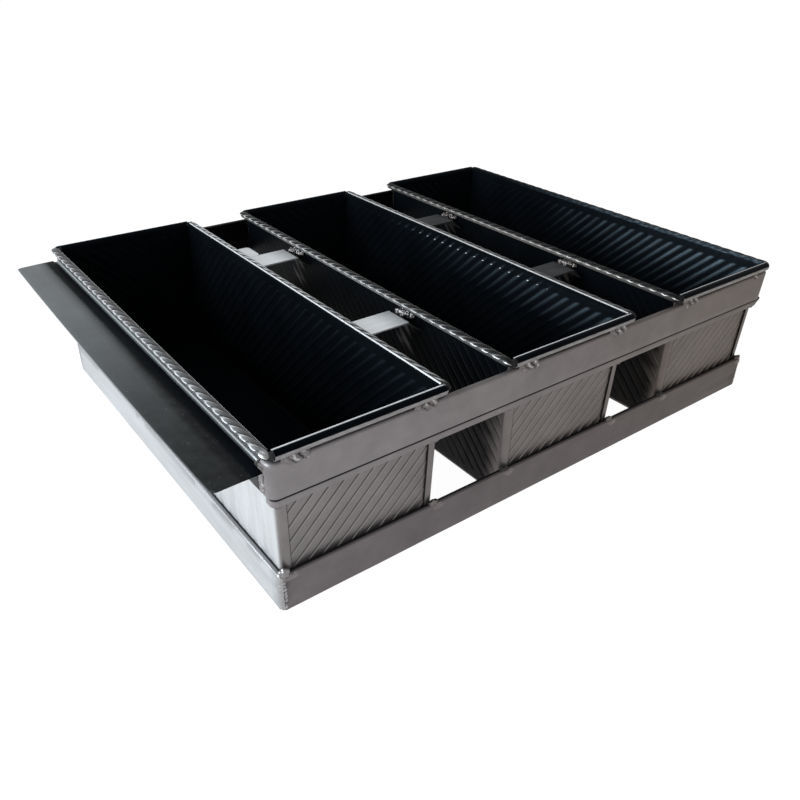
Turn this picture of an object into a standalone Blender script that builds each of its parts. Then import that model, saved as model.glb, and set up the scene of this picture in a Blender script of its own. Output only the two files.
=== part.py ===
"""Strap set of three long ribbed loaf pans welded into a carrying frame.

Metres, +Z up. X runs across the set, Y along the pans, and the front of the set faces -Y.
The origin is at the bottom centre of the bounding box.
"""
import math

import bmesh
import bpy
from mathutils import Matrix, Vector

# Pans
PAN_NAMES = ("left", "middle", "right")
PAN_WIDTH = 0.106  # inside, across the rim
PAN_LENGTH = 0.332  # inside, along the rim
PAN_PITCH = 0.1604  # centre to centre
SET_HEIGHT = 0.108  # rim top above the floor
PAN_LIFT = 0.0006  # underside of a pan above the floor
PAN_DRAFT = 0.0025  # lean of each wall from rim to underside
SHEET = 0.0008  # pan sheet
FLOOR_BEND = 0.003  # inside radius from wall to floor
CORNER_BEND = 0.0018  # inside radius of the upright corners
LAP_WIDTH = 0.006  # corner strip lapped over an end panel, from the wall's inner face

# Rolled rims
BEAD_DIAMETER = 0.0064
SIDE_ROLL = math.radians(150)  # a side rim leaves its wire open below
END_ROLL = math.radians(300)
ROLL_STEP = math.radians(30)  # turn of one facet of a rolled rim
WIRE_SLACK = 0.0004  # between the rim wire and the roll round it
WIRE_BEND = 0.003  # centre-line radius of the rim wire's corners
WIRE_SIDES = 8

# Ribs pressed into walls and end panels
RIB_PITCH = 0.007  # square across the ribs
RIB_WIDTH = 0.0026
RIB_DEPTH = 0.0007
RIB_ANGLE = math.radians(45)
RIB_MARGIN = 0.004  # plain sheet at the upright edges and above the floor
RIM_MARGIN = 0.0012  # plain sheet under the rolled rim

# Upper straps
STRAP_SHEET = 0.0012
STRAP_GAP = 0.0015  # between strap and pan
STRAP_DROP = 0.0026  # strap top below the rolled rim
STRAP_HEIGHT = 0.0203
STRAP_BEND = 0.005  # outside radius of the band's corners
FOLD_RADIUS = 0.0016  # outside radius along folds
LIP_HEIGHT = 0.0054  # set-back strip under a strap
LIP_GAP = 0.0005  # between that strip and the pan
RETURN_LENGTH = 0.009  # band carried round a corner, from the band's face
SEAM_GAP = 0.0006  # welded joint between band and strap
WING_WIDTH = 0.031  # wing beyond its strap
WING_REAR_SETBACK = 0.0065  # wing short of the rear band's face
WING_CORNER = 0.004

# Lower rails
RAIL_HEIGHT = 0.026
RAIL_SHEET = 0.0012
RAIL_LIP = 0.003  # inward fold along the top and bottom
RAIL_NOTCH = 0.002  # open corner that the weld fills

# Braces
BRACE_WIDTH = 0.022
BRACE_SPACING = 0.143
BRACE_SHEET = 0.0015
BRACE_DROP = 0.0011  # brace top below the rolled rim
TAB_WIDTH = 0.016
TAB_LENGTH = 0.019

# Welds, each fused to the strap, rail or brace that it stands on
WELD_ROOT = 0.0005  # how far weld metal runs into the piece under it
WELD_SIDES = 6
WELD_TIP = 0.45  # share of a bead's full section left at its ends
WELD_WAIST = 0.78  # share left between two ripples
RIM_WELD_INSET = 0.012  # weld centre from the pan's inner corner
RIM_WELD_LENGTH = 0.017
RIM_WELD_HEIGHT = 0.0066
RIM_WELD_DEPTH = 0.002
RIM_WELD_RIPPLES = 3
SEAM_WELD_WIDTH = 0.004
SEAM_WELD_DEPTH = 0.002
SEAM_WELD_RIPPLES = 4
FOOT_WELD_WIDTH = 0.0052
FOOT_WELD_HEIGHT = 0.0044
LIP_WELD_WIDTH = 0.0044
LIP_WELD_HEIGHT = 0.0025
LIP_WELD_DEPTH = 0.0016
BRACE_WELD_WIDTH = 0.0034
BRACE_WELD_LENGTH = 0.010
BRACE_WELD_HEIGHT = 0.0036
CORNER_WELD_LENGTH = 0.022
CORNER_WELD_RIPPLES = 5

CLEARANCE = 0.0003  # between touching pieces
SHARP_ANGLE = math.radians(35)  # shading only

# Derived places, measured from the middle pan's centre
HALF_WIDTH = PAN_WIDTH / 2
HALF_LENGTH = PAN_LENGTH / 2
SET_HALF = PAN_PITCH + HALF_WIDTH  # inner face of an outermost wall
BEAD_RADIUS = BEAD_DIAMETER / 2
BEAD_Z = SET_HEIGHT - BEAD_RADIUS
WIRE_RADIUS = BEAD_RADIUS - SHEET - WIRE_SLACK
RIM_UNDERSIDE = SET_HEIGHT - BEAD_DIAMETER
COLLAR_Z = RIM_UNDERSIDE - RIM_MARGIN
FLOOR_Z = PAN_LIFT + SHEET
WALL_BASE = FLOOR_Z + FLOOR_BEND
RIB_BASE = WALL_BASE + RIB_MARGIN
LAP_INNER = HALF_LENGTH + SHEET + CLEARANCE
LAP_OUTER = LAP_INNER + SHEET
CORNER_Y = LAP_INNER - CORNER_BEND
END_HALF = (HALF_WIDTH - CORNER_BEND - CLEARANCE
            + math.sqrt(CORNER_BEND ** 2 - (CORNER_BEND - CLEARANCE) ** 2))
STRAP_TOP = RIM_UNDERSIDE - STRAP_DROP
STRAP_BOTTOM = STRAP_TOP - STRAP_HEIGHT
LIP_SETBACK = STRAP_GAP - LIP_GAP
LIP_TOP = STRAP_BOTTOM - LIP_SETBACK
LIP_BOTTOM = LIP_TOP - LIP_HEIGHT
BAND_OUTER = LAP_OUTER + STRAP_GAP + STRAP_SHEET
SIDE_OUTER = SET_HALF + SHEET + STRAP_GAP + STRAP_SHEET
STRAP_FOLD = STRAP_GAP + STRAP_SHEET - CLEARANCE  # top fold, from the strap's face to the pan
SEAM_Y = BAND_OUTER - RETURN_LENGTH
STRAP_HALF = SEAM_Y - SEAM_GAP
BRACE_TOP = RIM_UNDERSIDE - BRACE_DROP
BOX_LEFT = -(SIDE_OUTER + WING_WIDTH)
BOX_RIGHT = SET_HALF + BEAD_DIAMETER
ROOT_X = -(BOX_LEFT + BOX_RIGHT) / 2

COATING = ("non-stick black", (0.012, 0.014, 0.017, 1.0), 0.0, 0.32)
SHEET_METAL = ("bare sheet", (0.46, 0.45, 0.44, 1.0), 1.0, 0.38)
WIRE_STEEL = ("wire steel", (0.42, 0.42, 0.43, 1.0), 1.0, 0.35)


def drafted(size, half, z):
    """A half size at the rim, leaned in to height z with the walls of that half."""
    lean = PAN_DRAFT * (SET_HEIGHT - z) / (SET_HEIGHT - PAN_LIFT)
    return size * (half - lean) / half


def rounded(points, radius, steps=3):
    """The points of an open path with its inner corners turned into arcs."""
    path = [Vector(points[0])]
    for before, corner, after in zip(points, points[1:], points[2:]):
        corner = Vector(corner)
        back = (Vector(before) - corner).normalized()
        ahead = (Vector(after) - corner).normalized()
        half_turn = (math.pi - back.angle(ahead)) / 2
        reach = radius * math.tan(half_turn)
        centre = corner + (back + ahead).normalized() * radius / math.cos(half_turn)
        start = (corner + back * reach - centre).normalized()
        finish = (corner + ahead * reach - centre).normalized()
        for step in range(steps + 1):
            path.append(centre + start.slerp(finish, step / steps) * radius)
    path.append(Vector(points[-1]))
    return path


def polyline(mesh, points):
    """Joins points with edges and returns the edges."""
    verts = [mesh.verts.new(point) for point in points]
    return [mesh.edges.new(pair) for pair in zip(verts, verts[1:])]


def edge_verts(edges):
    """The vertices of some edges, each once."""
    return list({vert for edge in edges for vert in edge.verts})


def pull(mesh, edges, offset):
    """Extrudes edges by an offset and returns the far edges."""
    made = bmesh.ops.extrude_edge_only(mesh, edges=edges)["geom"]
    verts = {item for item in made if isinstance(item, bmesh.types.BMVert)}
    bmesh.ops.translate(mesh, verts=list(verts), vec=offset)
    return [item for item in made
            if isinstance(item, bmesh.types.BMEdge) and verts.issuperset(item.verts)]


def turn(mesh, edges, centre, axis, angle, steps):
    """Sweeps edges round an axis and returns the far edges."""
    swept = bmesh.ops.spin(mesh, geom=edges + edge_verts(edges), cent=centre, axis=axis,
                           angle=angle, steps=steps, use_duplicate=False)["geom_last"]
    return [item for item in swept if isinstance(item, bmesh.types.BMEdge)]


def edges_where(mesh, test):
    """The edges whose two ends both pass a test."""
    return [edge for edge in mesh.edges if all(test(vert.co) for vert in edge.verts)]


def over_wire(out, z):
    """Whether a point of a rolled rim, out from its wall's inner face, leaves the rim wire's way clear."""
    return out > BEAD_RADIUS or abs(z - BEAD_Z) > WIRE_RADIUS + SHEET


def near(value, target):
    """Whether two coordinates are the same within a micrometre."""
    return abs(value - target) < 1e-6


def face_towards(mesh, direction):
    """Makes the faces agree, with their sum of areas pointing along a direction."""
    bmesh.ops.recalc_face_normals(mesh, faces=mesh.faces[:])
    total = Vector()
    for face in mesh.faces:
        total += face.normal * face.calc_area()
    if total.dot(direction) < 0:
        bmesh.ops.reverse_faces(mesh, faces=mesh.faces[:])


def thicken(mesh):
    """Closes a pan's coated surface to the sheet's thickness, away from the coating."""
    bmesh.ops.solidify(mesh, geom=mesh.faces[:], thickness=SHEET)
    bmesh.ops.recalc_face_normals(mesh, faces=mesh.faces[:])


def press_ribs(mesh, low, high, across, rise):
    """Presses slanted ribs through both faces of the flat panel between two corners."""
    low, high = Vector(low), Vector(high)
    slack = Vector((1e-6, 1e-6, 1e-6))

    def inside(point):
        return all(a <= c <= b for a, c, b in zip(low - slack, point, high + slack))

    middle = (low + high) / 2
    reach = sum(abs(a * (b - c)) for a, b, c in zip(across, high, low)) / 2
    count = int(reach // RIB_PITCH)
    for number in range(-count, count + 1):
        for side in (-RIB_WIDTH / 2, 0, RIB_WIDTH / 2):
            faces = [face for face in mesh.faces if all(inside(vert.co) for vert in face.verts)]
            edges = {edge for face in faces for edge in face.edges}
            bmesh.ops.bisect_plane(mesh, geom=faces + list(edges) + edge_verts(edges), dist=1e-6,
                                   plane_co=middle + across * (number * RIB_PITCH + side),
                                   plane_no=across)
    border = [face for face in mesh.faces if not all(inside(vert.co) for vert in face.verts)]
    bmesh.ops.triangulate(mesh, faces=border)
    for vert in mesh.verts:
        if inside(vert.co):
            place = (vert.co - middle).dot(across)
            off_centre = abs(place - round(place / RIB_PITCH) * RIB_PITCH)
            vert.co += rise * RIB_DEPTH * max(0, 1 - 2 * off_centre / RIB_WIDTH)


def lean_in(mesh):
    """Gives a pan's sheet its draft."""
    for vert in mesh.verts:
        vert.co.x = drafted(vert.co.x, HALF_WIDTH, vert.co.z)
        vert.co.y = drafted(vert.co.y, HALF_LENGTH, vert.co.z)


def half_turned(mesh):
    """Turns a mesh half round about the vertical axis."""
    bmesh.ops.rotate(mesh, verts=mesh.verts[:], cent=(0, 0, 0), matrix=Matrix.Rotation(math.pi, 3, "Z"))


def add_object(name, mesh, finish, parent, x=0.0, thickness=0.0):
    """Makes a named object of a mesh, in its own material, and closes a sheet to its thickness."""
    label, colour, metallic, roughness = finish
    data = bpy.data.meshes.new(name)
    mesh.to_mesh(data)
    mesh.free()
    material = bpy.data.materials.new(name + " " + label)
    material.use_nodes = True
    shader = material.node_tree.nodes["Principled BSDF"]
    shader.inputs["Base Color"].default_value = colour
    shader.inputs["Metallic"].default_value = metallic
    shader.inputs["Roughness"].default_value = roughness
    data.materials.append(material)
    data.shade_smooth()
    data.set_sharp_from_angle(angle=SHARP_ANGLE)
    piece = bpy.data.objects.new(name, data)
    piece.location.x = x
    piece.parent = parent
    bpy.context.scene.collection.objects.link(piece)
    if thickness:
        wall = piece.modifiers.new("sheet", "SOLIDIFY")
        wall.thickness = thickness
        wall.offset = -1
        wall.use_even_offset = True
    return piece


def wall_plan():
    """Plan of the left wall along its coated side, from lap strip to lap strip."""
    lap_x = LAP_WIDTH - HALF_WIDTH
    rib_y = CORNER_Y - RIB_MARGIN
    corners = [(lap_x, -LAP_INNER, WALL_BASE), (-HALF_WIDTH, -LAP_INNER, WALL_BASE),
               (-HALF_WIDTH, -rib_y, WALL_BASE)]
    front = rounded(corners, CORNER_BEND)
    rear = [Vector((point.x, -point.y, point.z)) for point in reversed(front)]
    return front + rear


def trough_mesh():
    """Both long walls, their rolled rims and lap strips, and the floor, as one coated surface."""
    mesh = bmesh.new()
    edges = polyline(mesh, wall_plan())
    edges = pull(mesh, edges, (0, 0, RIB_BASE - WALL_BASE))
    pull(mesh, edges, (0, 0, COLLAR_Z - RIB_BASE))

    def on_wall(z):
        return edges_where(mesh, lambda co: near(co.x, -HALF_WIDTH) and near(co.z, z)
                           and abs(co.y) < CORNER_Y + 1e-6)

    rim = pull(mesh, on_wall(COLLAR_Z), (0, 0, BEAD_Z - COLLAR_Z))
    turn(mesh, rim, (-HALF_WIDTH - BEAD_RADIUS, 0, BEAD_Z), (0, 1, 0), -SIDE_ROLL,
         round(SIDE_ROLL / ROLL_STEP))
    hood = edges_where(mesh, lambda co: near(co.y, -CORNER_Y) and co.z > COLLAR_Z + 1e-6
                       and over_wire(-HALF_WIDTH - co.x, co.z))
    pull(mesh, hood, (0, CORNER_Y - HALF_LENGTH - BEAD_DIAMETER, 0))
    floor = turn(mesh, on_wall(WALL_BASE), (FLOOR_BEND - HALF_WIDTH, 0, WALL_BASE), (0, 1, 0),
                 -math.pi / 2, 3)
    pull(mesh, floor, (HALF_WIDTH - FLOOR_BEND, 0, 0))
    twin = bmesh.ops.duplicate(mesh, geom=mesh.verts[:] + mesh.edges[:] + mesh.faces[:])["geom"]
    bmesh.ops.rotate(mesh, verts=[item for item in twin if isinstance(item, bmesh.types.BMVert)],
                     cent=(0, 0, 0), matrix=Matrix.Rotation(math.pi, 3, "Z"))
    bmesh.ops.remove_doubles(mesh, verts=mesh.verts[:], dist=1e-6)
    for side in (-1, 1):
        floor_end = edges_where(mesh, lambda co: near(co.y, side * CORNER_Y) and near(co.z, FLOOR_Z))
        pull(mesh, floor_end, (0, side * (HALF_LENGTH + SHEET - CORNER_Y), 0))
    face_towards(mesh, Vector((0, 0, 1)))
    thicken(mesh)
    rib_y = CORNER_Y - RIB_MARGIN
    for side in (-1, 1):
        faces = sorted((side * HALF_WIDTH, side * (HALF_WIDTH + SHEET)))
        press_ribs(mesh, (faces[0], -rib_y, RIB_BASE), (faces[1], rib_y, COLLAR_Z),
                   Vector((0, -side * math.sin(RIB_ANGLE), -math.cos(RIB_ANGLE))), Vector((-side, 0, 0)))
    lean_in(mesh)
    bmesh.ops.triangulate(mesh, faces=mesh.faces[:])
    return mesh


def end_mesh():
    """The front end panel and its rolled rim, as one coated surface."""
    mesh = bmesh.new()
    base = FLOOR_Z + CLEARANCE
    rib_x = END_HALF - LAP_WIDTH
    edges = polyline(mesh, [(x, -HALF_LENGTH, base) for x in (-END_HALF, -rib_x, rib_x, END_HALF)])
    edges = pull(mesh, edges, (0, 0, RIB_BASE - base))
    edges = pull(mesh, edges, (0, 0, COLLAR_Z - RIB_BASE))
    edges = pull(mesh, edges, (0, 0, BEAD_Z - COLLAR_Z))
    turn(mesh, edges, (0, -HALF_LENGTH - BEAD_RADIUS, BEAD_Z), (1, 0, 0), END_ROLL,
         round(END_ROLL / ROLL_STEP))
    hood = edges_where(mesh, lambda co: near(co.x, END_HALF) and co.z > COLLAR_Z + 1e-6
                       and over_wire(-HALF_LENGTH - co.y, co.z))
    pull(mesh, hood, (HALF_WIDTH + BEAD_DIAMETER - END_HALF, 0, 0))
    corners = [vert for vert in mesh.verts if near(vert.co.z, base) and near(abs(vert.co.x), END_HALF)]
    bmesh.ops.bevel(mesh, geom=corners, offset=FLOOR_BEND, segments=3, profile=0.5,
                    affect="VERTICES", material=-1)
    face_towards(mesh, Vector((0, 1, 1)))
    thicken(mesh)
    press_ribs(mesh, (-rib_x, -HALF_LENGTH - SHEET, RIB_BASE), (rib_x, -HALF_LENGTH, COLLAR_Z),
               Vector((math.sin(RIB_ANGLE), 0, -math.cos(RIB_ANGLE))), Vector((0, 1, 0)))
    lean_in(mesh)
    bmesh.ops.triangulate(mesh, faces=mesh.faces[:])
    return mesh


def wire_mesh():
    """The rim wire: a closed loop through a pan's four rolled rims."""
    mesh = bmesh.new()
    side = drafted(HALF_WIDTH + BEAD_RADIUS, HALF_WIDTH, BEAD_Z)
    end = drafted(HALF_LENGTH + BEAD_RADIUS, HALF_LENGTH, BEAD_Z)
    ring = bmesh.ops.create_circle(mesh, segments=WIRE_SIDES, radius=WIRE_RADIUS)["verts"]
    bmesh.ops.rotate(mesh, verts=ring, cent=(0, 0, 0), matrix=Matrix.Rotation(math.pi / 2, 3, "X"))
    bmesh.ops.translate(mesh, verts=ring, vec=(-side, 0, BEAD_Z))
    edges = mesh.edges[:]
    side_run = Vector((0, WIRE_BEND - end, 0))
    end_run = Vector((2 * (side - WIRE_BEND), 0, 0))
    corners = ((-1, -1, side_run), (1, -1, end_run), (1, 1, -2 * side_run), (-1, 1, -end_run))
    for corner_x, corner_y, run in corners:
        edges = pull(mesh, edges, run)
        centre = (corner_x * (side - WIRE_BEND), corner_y * (end - WIRE_BEND), BEAD_Z)
        edges = turn(mesh, edges, centre, (0, 0, 1), math.pi / 2, 3)
    pull(mesh, edges, side_run)
    bmesh.ops.remove_doubles(mesh, verts=mesh.verts[:], dist=1e-6)
    bmesh.ops.recalc_face_normals(mesh, faces=mesh.faces[:])
    return mesh


def make_pan(name, x, parent):
    """One pan: trough, two end panels and the rim wire."""
    add_object(name + "_pan_trough", trough_mesh(), COATING, parent, x)
    add_object(name + "_pan_front_end", end_mesh(), COATING, parent, x)
    rear = end_mesh()
    half_turned(rear)
    add_object(name + "_pan_rear_end", rear, COATING, parent, x)
    add_object(name + "_pan_rim_wire", wire_mesh(), WIRE_STEEL, parent, x)


def strap_section():
    """Folded section of a strap as (set in from its face, height): top fold, face and set-back lip."""
    fold = rounded([(STRAP_FOLD, STRAP_TOP), (0, STRAP_TOP), (0, STRAP_BOTTOM)], FOLD_RADIUS)
    return [tuple(point) for point in fold] + [(LIP_SETBACK, LIP_TOP), (LIP_SETBACK, LIP_BOTTOM)]


def band_mesh():
    """The upper front band: a strap bent round both front corners."""
    mesh = bmesh.new()
    edges = polyline(mesh, [(inset - SIDE_OUTER, -SEAM_Y, z) for inset, z in strap_section()])
    edges = pull(mesh, edges, (0, STRAP_BEND - RETURN_LENGTH, 0))
    corner_y = STRAP_BEND - BAND_OUTER
    edges = turn(mesh, edges, (STRAP_BEND - SIDE_OUTER, corner_y, 0), (0, 0, 1), math.pi / 2, 4)
    edges = pull(mesh, edges, (2 * (SIDE_OUTER - STRAP_BEND), 0, 0))
    edges = turn(mesh, edges, (SIDE_OUTER - STRAP_BEND, corner_y, 0), (0, 0, 1), math.pi / 2, 4)
    pull(mesh, edges, (0, RETURN_LENGTH - STRAP_BEND, 0))
    face_towards(mesh, Vector((0, -1, 0)))
    return mesh


def right_strap_mesh():
    """The upper right strap between the two bands."""
    mesh = bmesh.new()
    edges = polyline(mesh, [(SIDE_OUTER - inset, -STRAP_HALF, z) for inset, z in strap_section()])
    pull(mesh, edges, (0, 2 * STRAP_HALF, 0))
    face_towards(mesh, Vector((1, 0, 0)))
    return mesh


def wing_strap_mesh():
    """The left strap, with its wing folded outwards along the top."""
    mesh = bmesh.new()
    inner = STRAP_SHEET - SIDE_OUTER
    notch = -SIDE_OUTER - CLEARANCE - FOLD_RADIUS
    section = rounded([(inner, STRAP_BOTTOM), (inner, STRAP_TOP), (notch, STRAP_TOP)], FOLD_RADIUS)
    section.append(Vector((-SIDE_OUTER - WING_WIDTH, STRAP_TOP)))
    edges = polyline(mesh, [(x, -STRAP_HALF, z) for x, z in section])
    pull(mesh, edges, (0, 2 * STRAP_HALF, 0))
    ends = ((-1, BAND_OUTER - STRAP_HALF), (1, BAND_OUTER - WING_REAR_SETBACK - STRAP_HALF))
    for side, reach in ends:
        wing_end = edges_where(mesh, lambda co: near(co.y, side * STRAP_HALF) and co.x < notch + 1e-6)
        pull(mesh, wing_end, (0, side * reach, 0))
    tips = [vert for vert in mesh.verts if near(vert.co.x, -SIDE_OUTER - WING_WIDTH)
            and abs(vert.co.y) > STRAP_HALF + 1e-6]
    bmesh.ops.bevel(mesh, geom=tips, offset=WING_CORNER, segments=3, profile=0.5,
                    affect="VERTICES", material=-1)
    face_towards(mesh, Vector((1, 0, 1)))
    return mesh


def rail_faces():
    """Outer faces of the lower rails, from the set's centre along X and Y."""
    room = CLEARANCE + RAIL_LIP
    side = PAN_PITCH + drafted(HALF_WIDTH + SHEET, HALF_WIDTH, RAIL_HEIGHT) + room
    front = drafted(LAP_OUTER, HALF_LENGTH, RAIL_HEIGHT) + room
    return side, front


def rail_mesh(half_length, face):
    """A lower rail along X with its face towards -Y: a folded channel with notched mitre ends."""
    mesh = bmesh.new()
    section = rounded([(RAIL_LIP, RAIL_HEIGHT), (0, RAIL_HEIGHT), (0, 0), (RAIL_LIP, 0)], FOLD_RADIUS)
    edges = polyline(mesh, [(-half_length, inset - face, z) for inset, z in section])
    pull(mesh, edges, (2 * half_length, 0, 0))
    for vert in mesh.verts:
        inset = max(vert.co.y + face, RAIL_NOTCH)
        vert.co.x = math.copysign(half_length - inset - CLEARANCE, vert.co.x)
    face_towards(mesh, Vector((0, -1, 0)))
    return mesh


def make_rails(parent):
    """The ring of four lower rails, with the welds on the front and rear ones."""
    side, front = rail_faces()
    for name, quarter in (("front", 0), ("right", 1), ("rear", 2), ("left", 3)):
        half_length, face = (front, side) if quarter % 2 else (side, front)
        mesh = rail_mesh(half_length, face)
        bmesh.ops.rotate(mesh, verts=mesh.verts[:], cent=(0, 0, 0),
                         matrix=Matrix.Rotation(quarter * math.pi / 2, 3, "Z"))
        rail = add_object("lower_%s_rail" % name, mesh, SHEET_METAL, parent, 0.0, RAIL_SHEET)
        if quarter % 2 == 0:
            fuse(rail, rail_welds(), turned=quarter == 2)


def plate_mesh(low, high):
    """A flat plate between two corners."""
    mesh = bmesh.new()
    low, high = Vector(low), Vector(high)
    made = bmesh.ops.create_cube(mesh, size=1.0)["verts"]
    bmesh.ops.scale(mesh, verts=made, vec=high - low)
    bmesh.ops.translate(mesh, verts=made, vec=(low + high) / 2)
    return mesh


def gap_walls(gap):
    """Outer faces of the two pan walls beside a gap, at brace height; the gaps are -1 and 1."""
    wall = drafted(HALF_WIDTH + SHEET, HALF_WIDTH, BRACE_TOP)
    middle = gap * PAN_PITCH / 2
    return middle - PAN_PITCH / 2 + wall, middle + PAN_PITCH / 2 - wall


def make_braces(parent):
    """Two flat braces in each gap between pans, and the tab beside the left rear one."""
    for gap, gap_name in ((-1, "left"), (1, "right")):
        low_x, high_x = gap_walls(gap)
        for side, row_name in ((-1, "front"), (1, "rear")):
            middle = side * BRACE_SPACING / 2
            mesh = plate_mesh((low_x + CLEARANCE, middle - BRACE_WIDTH / 2, BRACE_TOP - BRACE_SHEET),
                              (high_x - CLEARANCE, middle + BRACE_WIDTH / 2, BRACE_TOP))
            brace = add_object("brace_%s_%s" % (gap_name, row_name), mesh, SHEET_METAL, parent)
            fuse(brace, brace_weld(gap, side))
    tab_x = gap_walls(-1)[0] + CLEARANCE
    tab_y = (BRACE_SPACING + BRACE_WIDTH) / 2 + CLEARANCE
    mesh = plate_mesh((tab_x, tab_y, BRACE_TOP - BRACE_SHEET),
                      (tab_x + TAB_WIDTH, tab_y + TAB_LENGTH, BRACE_TOP))
    add_object("brace_tab", mesh, SHEET_METAL, parent)


def ripple_bead(mesh, centre, along, length, size, ripples):
    """A weld bead along an axis: swells and waists of a flattened round section."""
    up = Vector((0, 0, 1)) if along.x else Vector((1, 0, 0))
    out = along.cross(up)
    steps = 2 * ripples
    ring = bmesh.ops.create_circle(mesh, segments=WELD_SIDES, radius=0.5)["verts"]
    edges = list({edge for vert in ring for edge in vert.link_edges})
    bmesh.ops.edgeloop_fill(mesh, edges=edges)
    rings = [ring]
    for step in range(steps):
        edges = pull(mesh, edges, (0, 0, 1 / steps))
        rings.append(edge_verts(edges))
    bmesh.ops.edgeloop_fill(mesh, edges=edges)
    for step, ring in enumerate(rings):
        swell = WELD_TIP if step in (0, steps) else (1.0 if step % 2 else WELD_WAIST)
        for vert in ring:
            run = (vert.co.z - 0.5) * length
            vert.co = (centre + along * run + up * vert.co.x * size[0] * swell
                       + out * vert.co.y * size[1] * swell)


def lump(mesh, centre, size):
    """A rounded lump of weld metal."""
    made = bmesh.ops.create_icosphere(mesh, subdivisions=1, radius=0.5)["verts"]
    bmesh.ops.scale(mesh, verts=made, vec=size)
    bmesh.ops.translate(mesh, verts=made, vec=centre)


def lap_middles():
    """Middles along X of all the corner strips of one end of the set, at the rim."""
    middle = HALF_WIDTH + SHEET - LAP_WIDTH / 2
    return [number * PAN_PITCH + side * middle for number in (-1, 0, 1) for side in (-1, 1)]


def band_welds():
    """Weld metal on the front band: under the rims, under the lip and at both seams."""
    mesh = bmesh.new()
    rim_y = BAND_OUTER - WELD_ROOT + RIM_WELD_DEPTH / 2
    sideways = min(abs(rim_y - HALF_LENGTH - BEAD_RADIUS), BEAD_RADIUS)
    rim_top = BEAD_Z - math.sqrt(BEAD_RADIUS ** 2 - sideways ** 2) - CLEARANCE
    for number in (-1, 0, 1):
        for side in (-1, 1):
            x = number * PAN_PITCH + side * (HALF_WIDTH - RIM_WELD_INSET)
            ripple_bead(mesh, Vector((x, -rim_y, rim_top - RIM_WELD_HEIGHT / 2)), Vector((1, 0, 0)),
                        RIM_WELD_LENGTH, (RIM_WELD_HEIGHT, RIM_WELD_DEPTH), RIM_WELD_RIPPLES)
    lip_y = drafted(LAP_OUTER, HALF_LENGTH, LIP_BOTTOM) + CLEARANCE + LIP_WELD_DEPTH / 2
    for x in lap_middles():
        lump(mesh, (x, -lip_y, LIP_BOTTOM + WELD_ROOT - LIP_WELD_HEIGHT / 2),
             (LIP_WELD_WIDTH, LIP_WELD_DEPTH, LIP_WELD_HEIGHT))
    seam_top = STRAP_TOP - STRAP_SHEET - CLEARANCE - FOLD_RADIUS
    for side in (-1, 1):
        place = Vector((side * (SIDE_OUTER - WELD_ROOT + SEAM_WELD_DEPTH / 2),
                        -SEAM_Y - SEAM_WELD_WIDTH / 2, (seam_top + STRAP_BOTTOM) / 2))
        ripple_bead(mesh, place, Vector((0, 0, 1)), seam_top - STRAP_BOTTOM,
                    (SEAM_WELD_DEPTH, SEAM_WELD_WIDTH), SEAM_WELD_RIPPLES)
    return mesh


def rail_welds():
    """Weld metal on the front rail: at the feet of the corner strips and in both open corners."""
    mesh = bmesh.new()
    side, front = rail_faces()
    top = RAIL_HEIGHT - WELD_ROOT + FOOT_WELD_HEIGHT
    inner = drafted(LAP_OUTER, HALF_LENGTH, top) + CLEARANCE
    for x in lap_middles():
        lump(mesh, (x, -(inner + front) / 2, top - FOOT_WELD_HEIGHT / 2),
             (FOOT_WELD_WIDTH, front - inner, FOOT_WELD_HEIGHT))
    across = RAIL_NOTCH + CLEARANCE + WELD_ROOT
    for end in (-1, 1):
        place = Vector((end * (side - across / 2), RAIL_NOTCH / 2 - front, RAIL_HEIGHT / 2))
        ripple_bead(mesh, place, Vector((0, 0, 1)), CORNER_WELD_LENGTH, (across, RAIL_NOTCH),
                    CORNER_WELD_RIPPLES)
    return mesh


def brace_weld(gap, side):
    """The lump that joins a brace to the rim on its right."""
    mesh = bmesh.new()
    rim = gap * PAN_PITCH / 2 + PAN_PITCH / 2 - HALF_WIDTH - BEAD_DIAMETER
    lump(mesh, (rim - CLEARANCE - BRACE_WELD_WIDTH / 2, side * BRACE_SPACING / 2,
                BRACE_TOP - WELD_ROOT + BRACE_WELD_HEIGHT / 2),
         (BRACE_WELD_WIDTH, BRACE_WELD_LENGTH, BRACE_WELD_HEIGHT))
    return mesh


def fuse(piece, mesh, turned=False):
    """Joins weld metal to a piece, turned half round for the rear."""
    if turned:
        half_turned(mesh)
    bmesh.ops.recalc_face_normals(mesh, faces=mesh.faces[:])
    data = bpy.data.meshes.new(piece.name + "_weld_metal")
    mesh.to_mesh(data)
    mesh.free()
    metal = bpy.data.objects.new(data.name, data)
    metal.parent = piece.parent
    metal.hide_render = True
    metal.display_type = "WIRE"
    bpy.context.scene.collection.objects.link(metal)
    joint = piece.modifiers.new("welds", "BOOLEAN")
    joint.operation = "UNION"
    joint.object = metal


def make_straps(parent):
    """The four upper straps, with the welds that stand on them."""
    front = add_object("upper_front_band", band_mesh(), SHEET_METAL, parent, 0.0, STRAP_SHEET)
    fuse(front, band_welds())
    mesh = band_mesh()
    half_turned(mesh)
    rear = add_object("upper_rear_band", mesh, SHEET_METAL, parent, 0.0, STRAP_SHEET)
    fuse(rear, band_welds(), turned=True)
    add_object("upper_right_strap", right_strap_mesh(), SHEET_METAL, parent, 0.0, STRAP_SHEET)
    add_object("left_wing_strap", wing_strap_mesh(), SHEET_METAL, parent, 0.0, STRAP_SHEET)


def main():
    """Clears the scene and builds the set."""
    for old in list(bpy.data.objects):
        bpy.data.objects.remove(old)
    root = bpy.data.objects.new("pan_set", None)
    root.location.x = ROOT_X
    bpy.context.scene.collection.objects.link(root)
    for number, name in enumerate(PAN_NAMES):
        make_pan(name, (number - 1) * PAN_PITCH, root)
    make_straps(root)
    make_rails(root)
    make_braces(root)


main()
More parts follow.
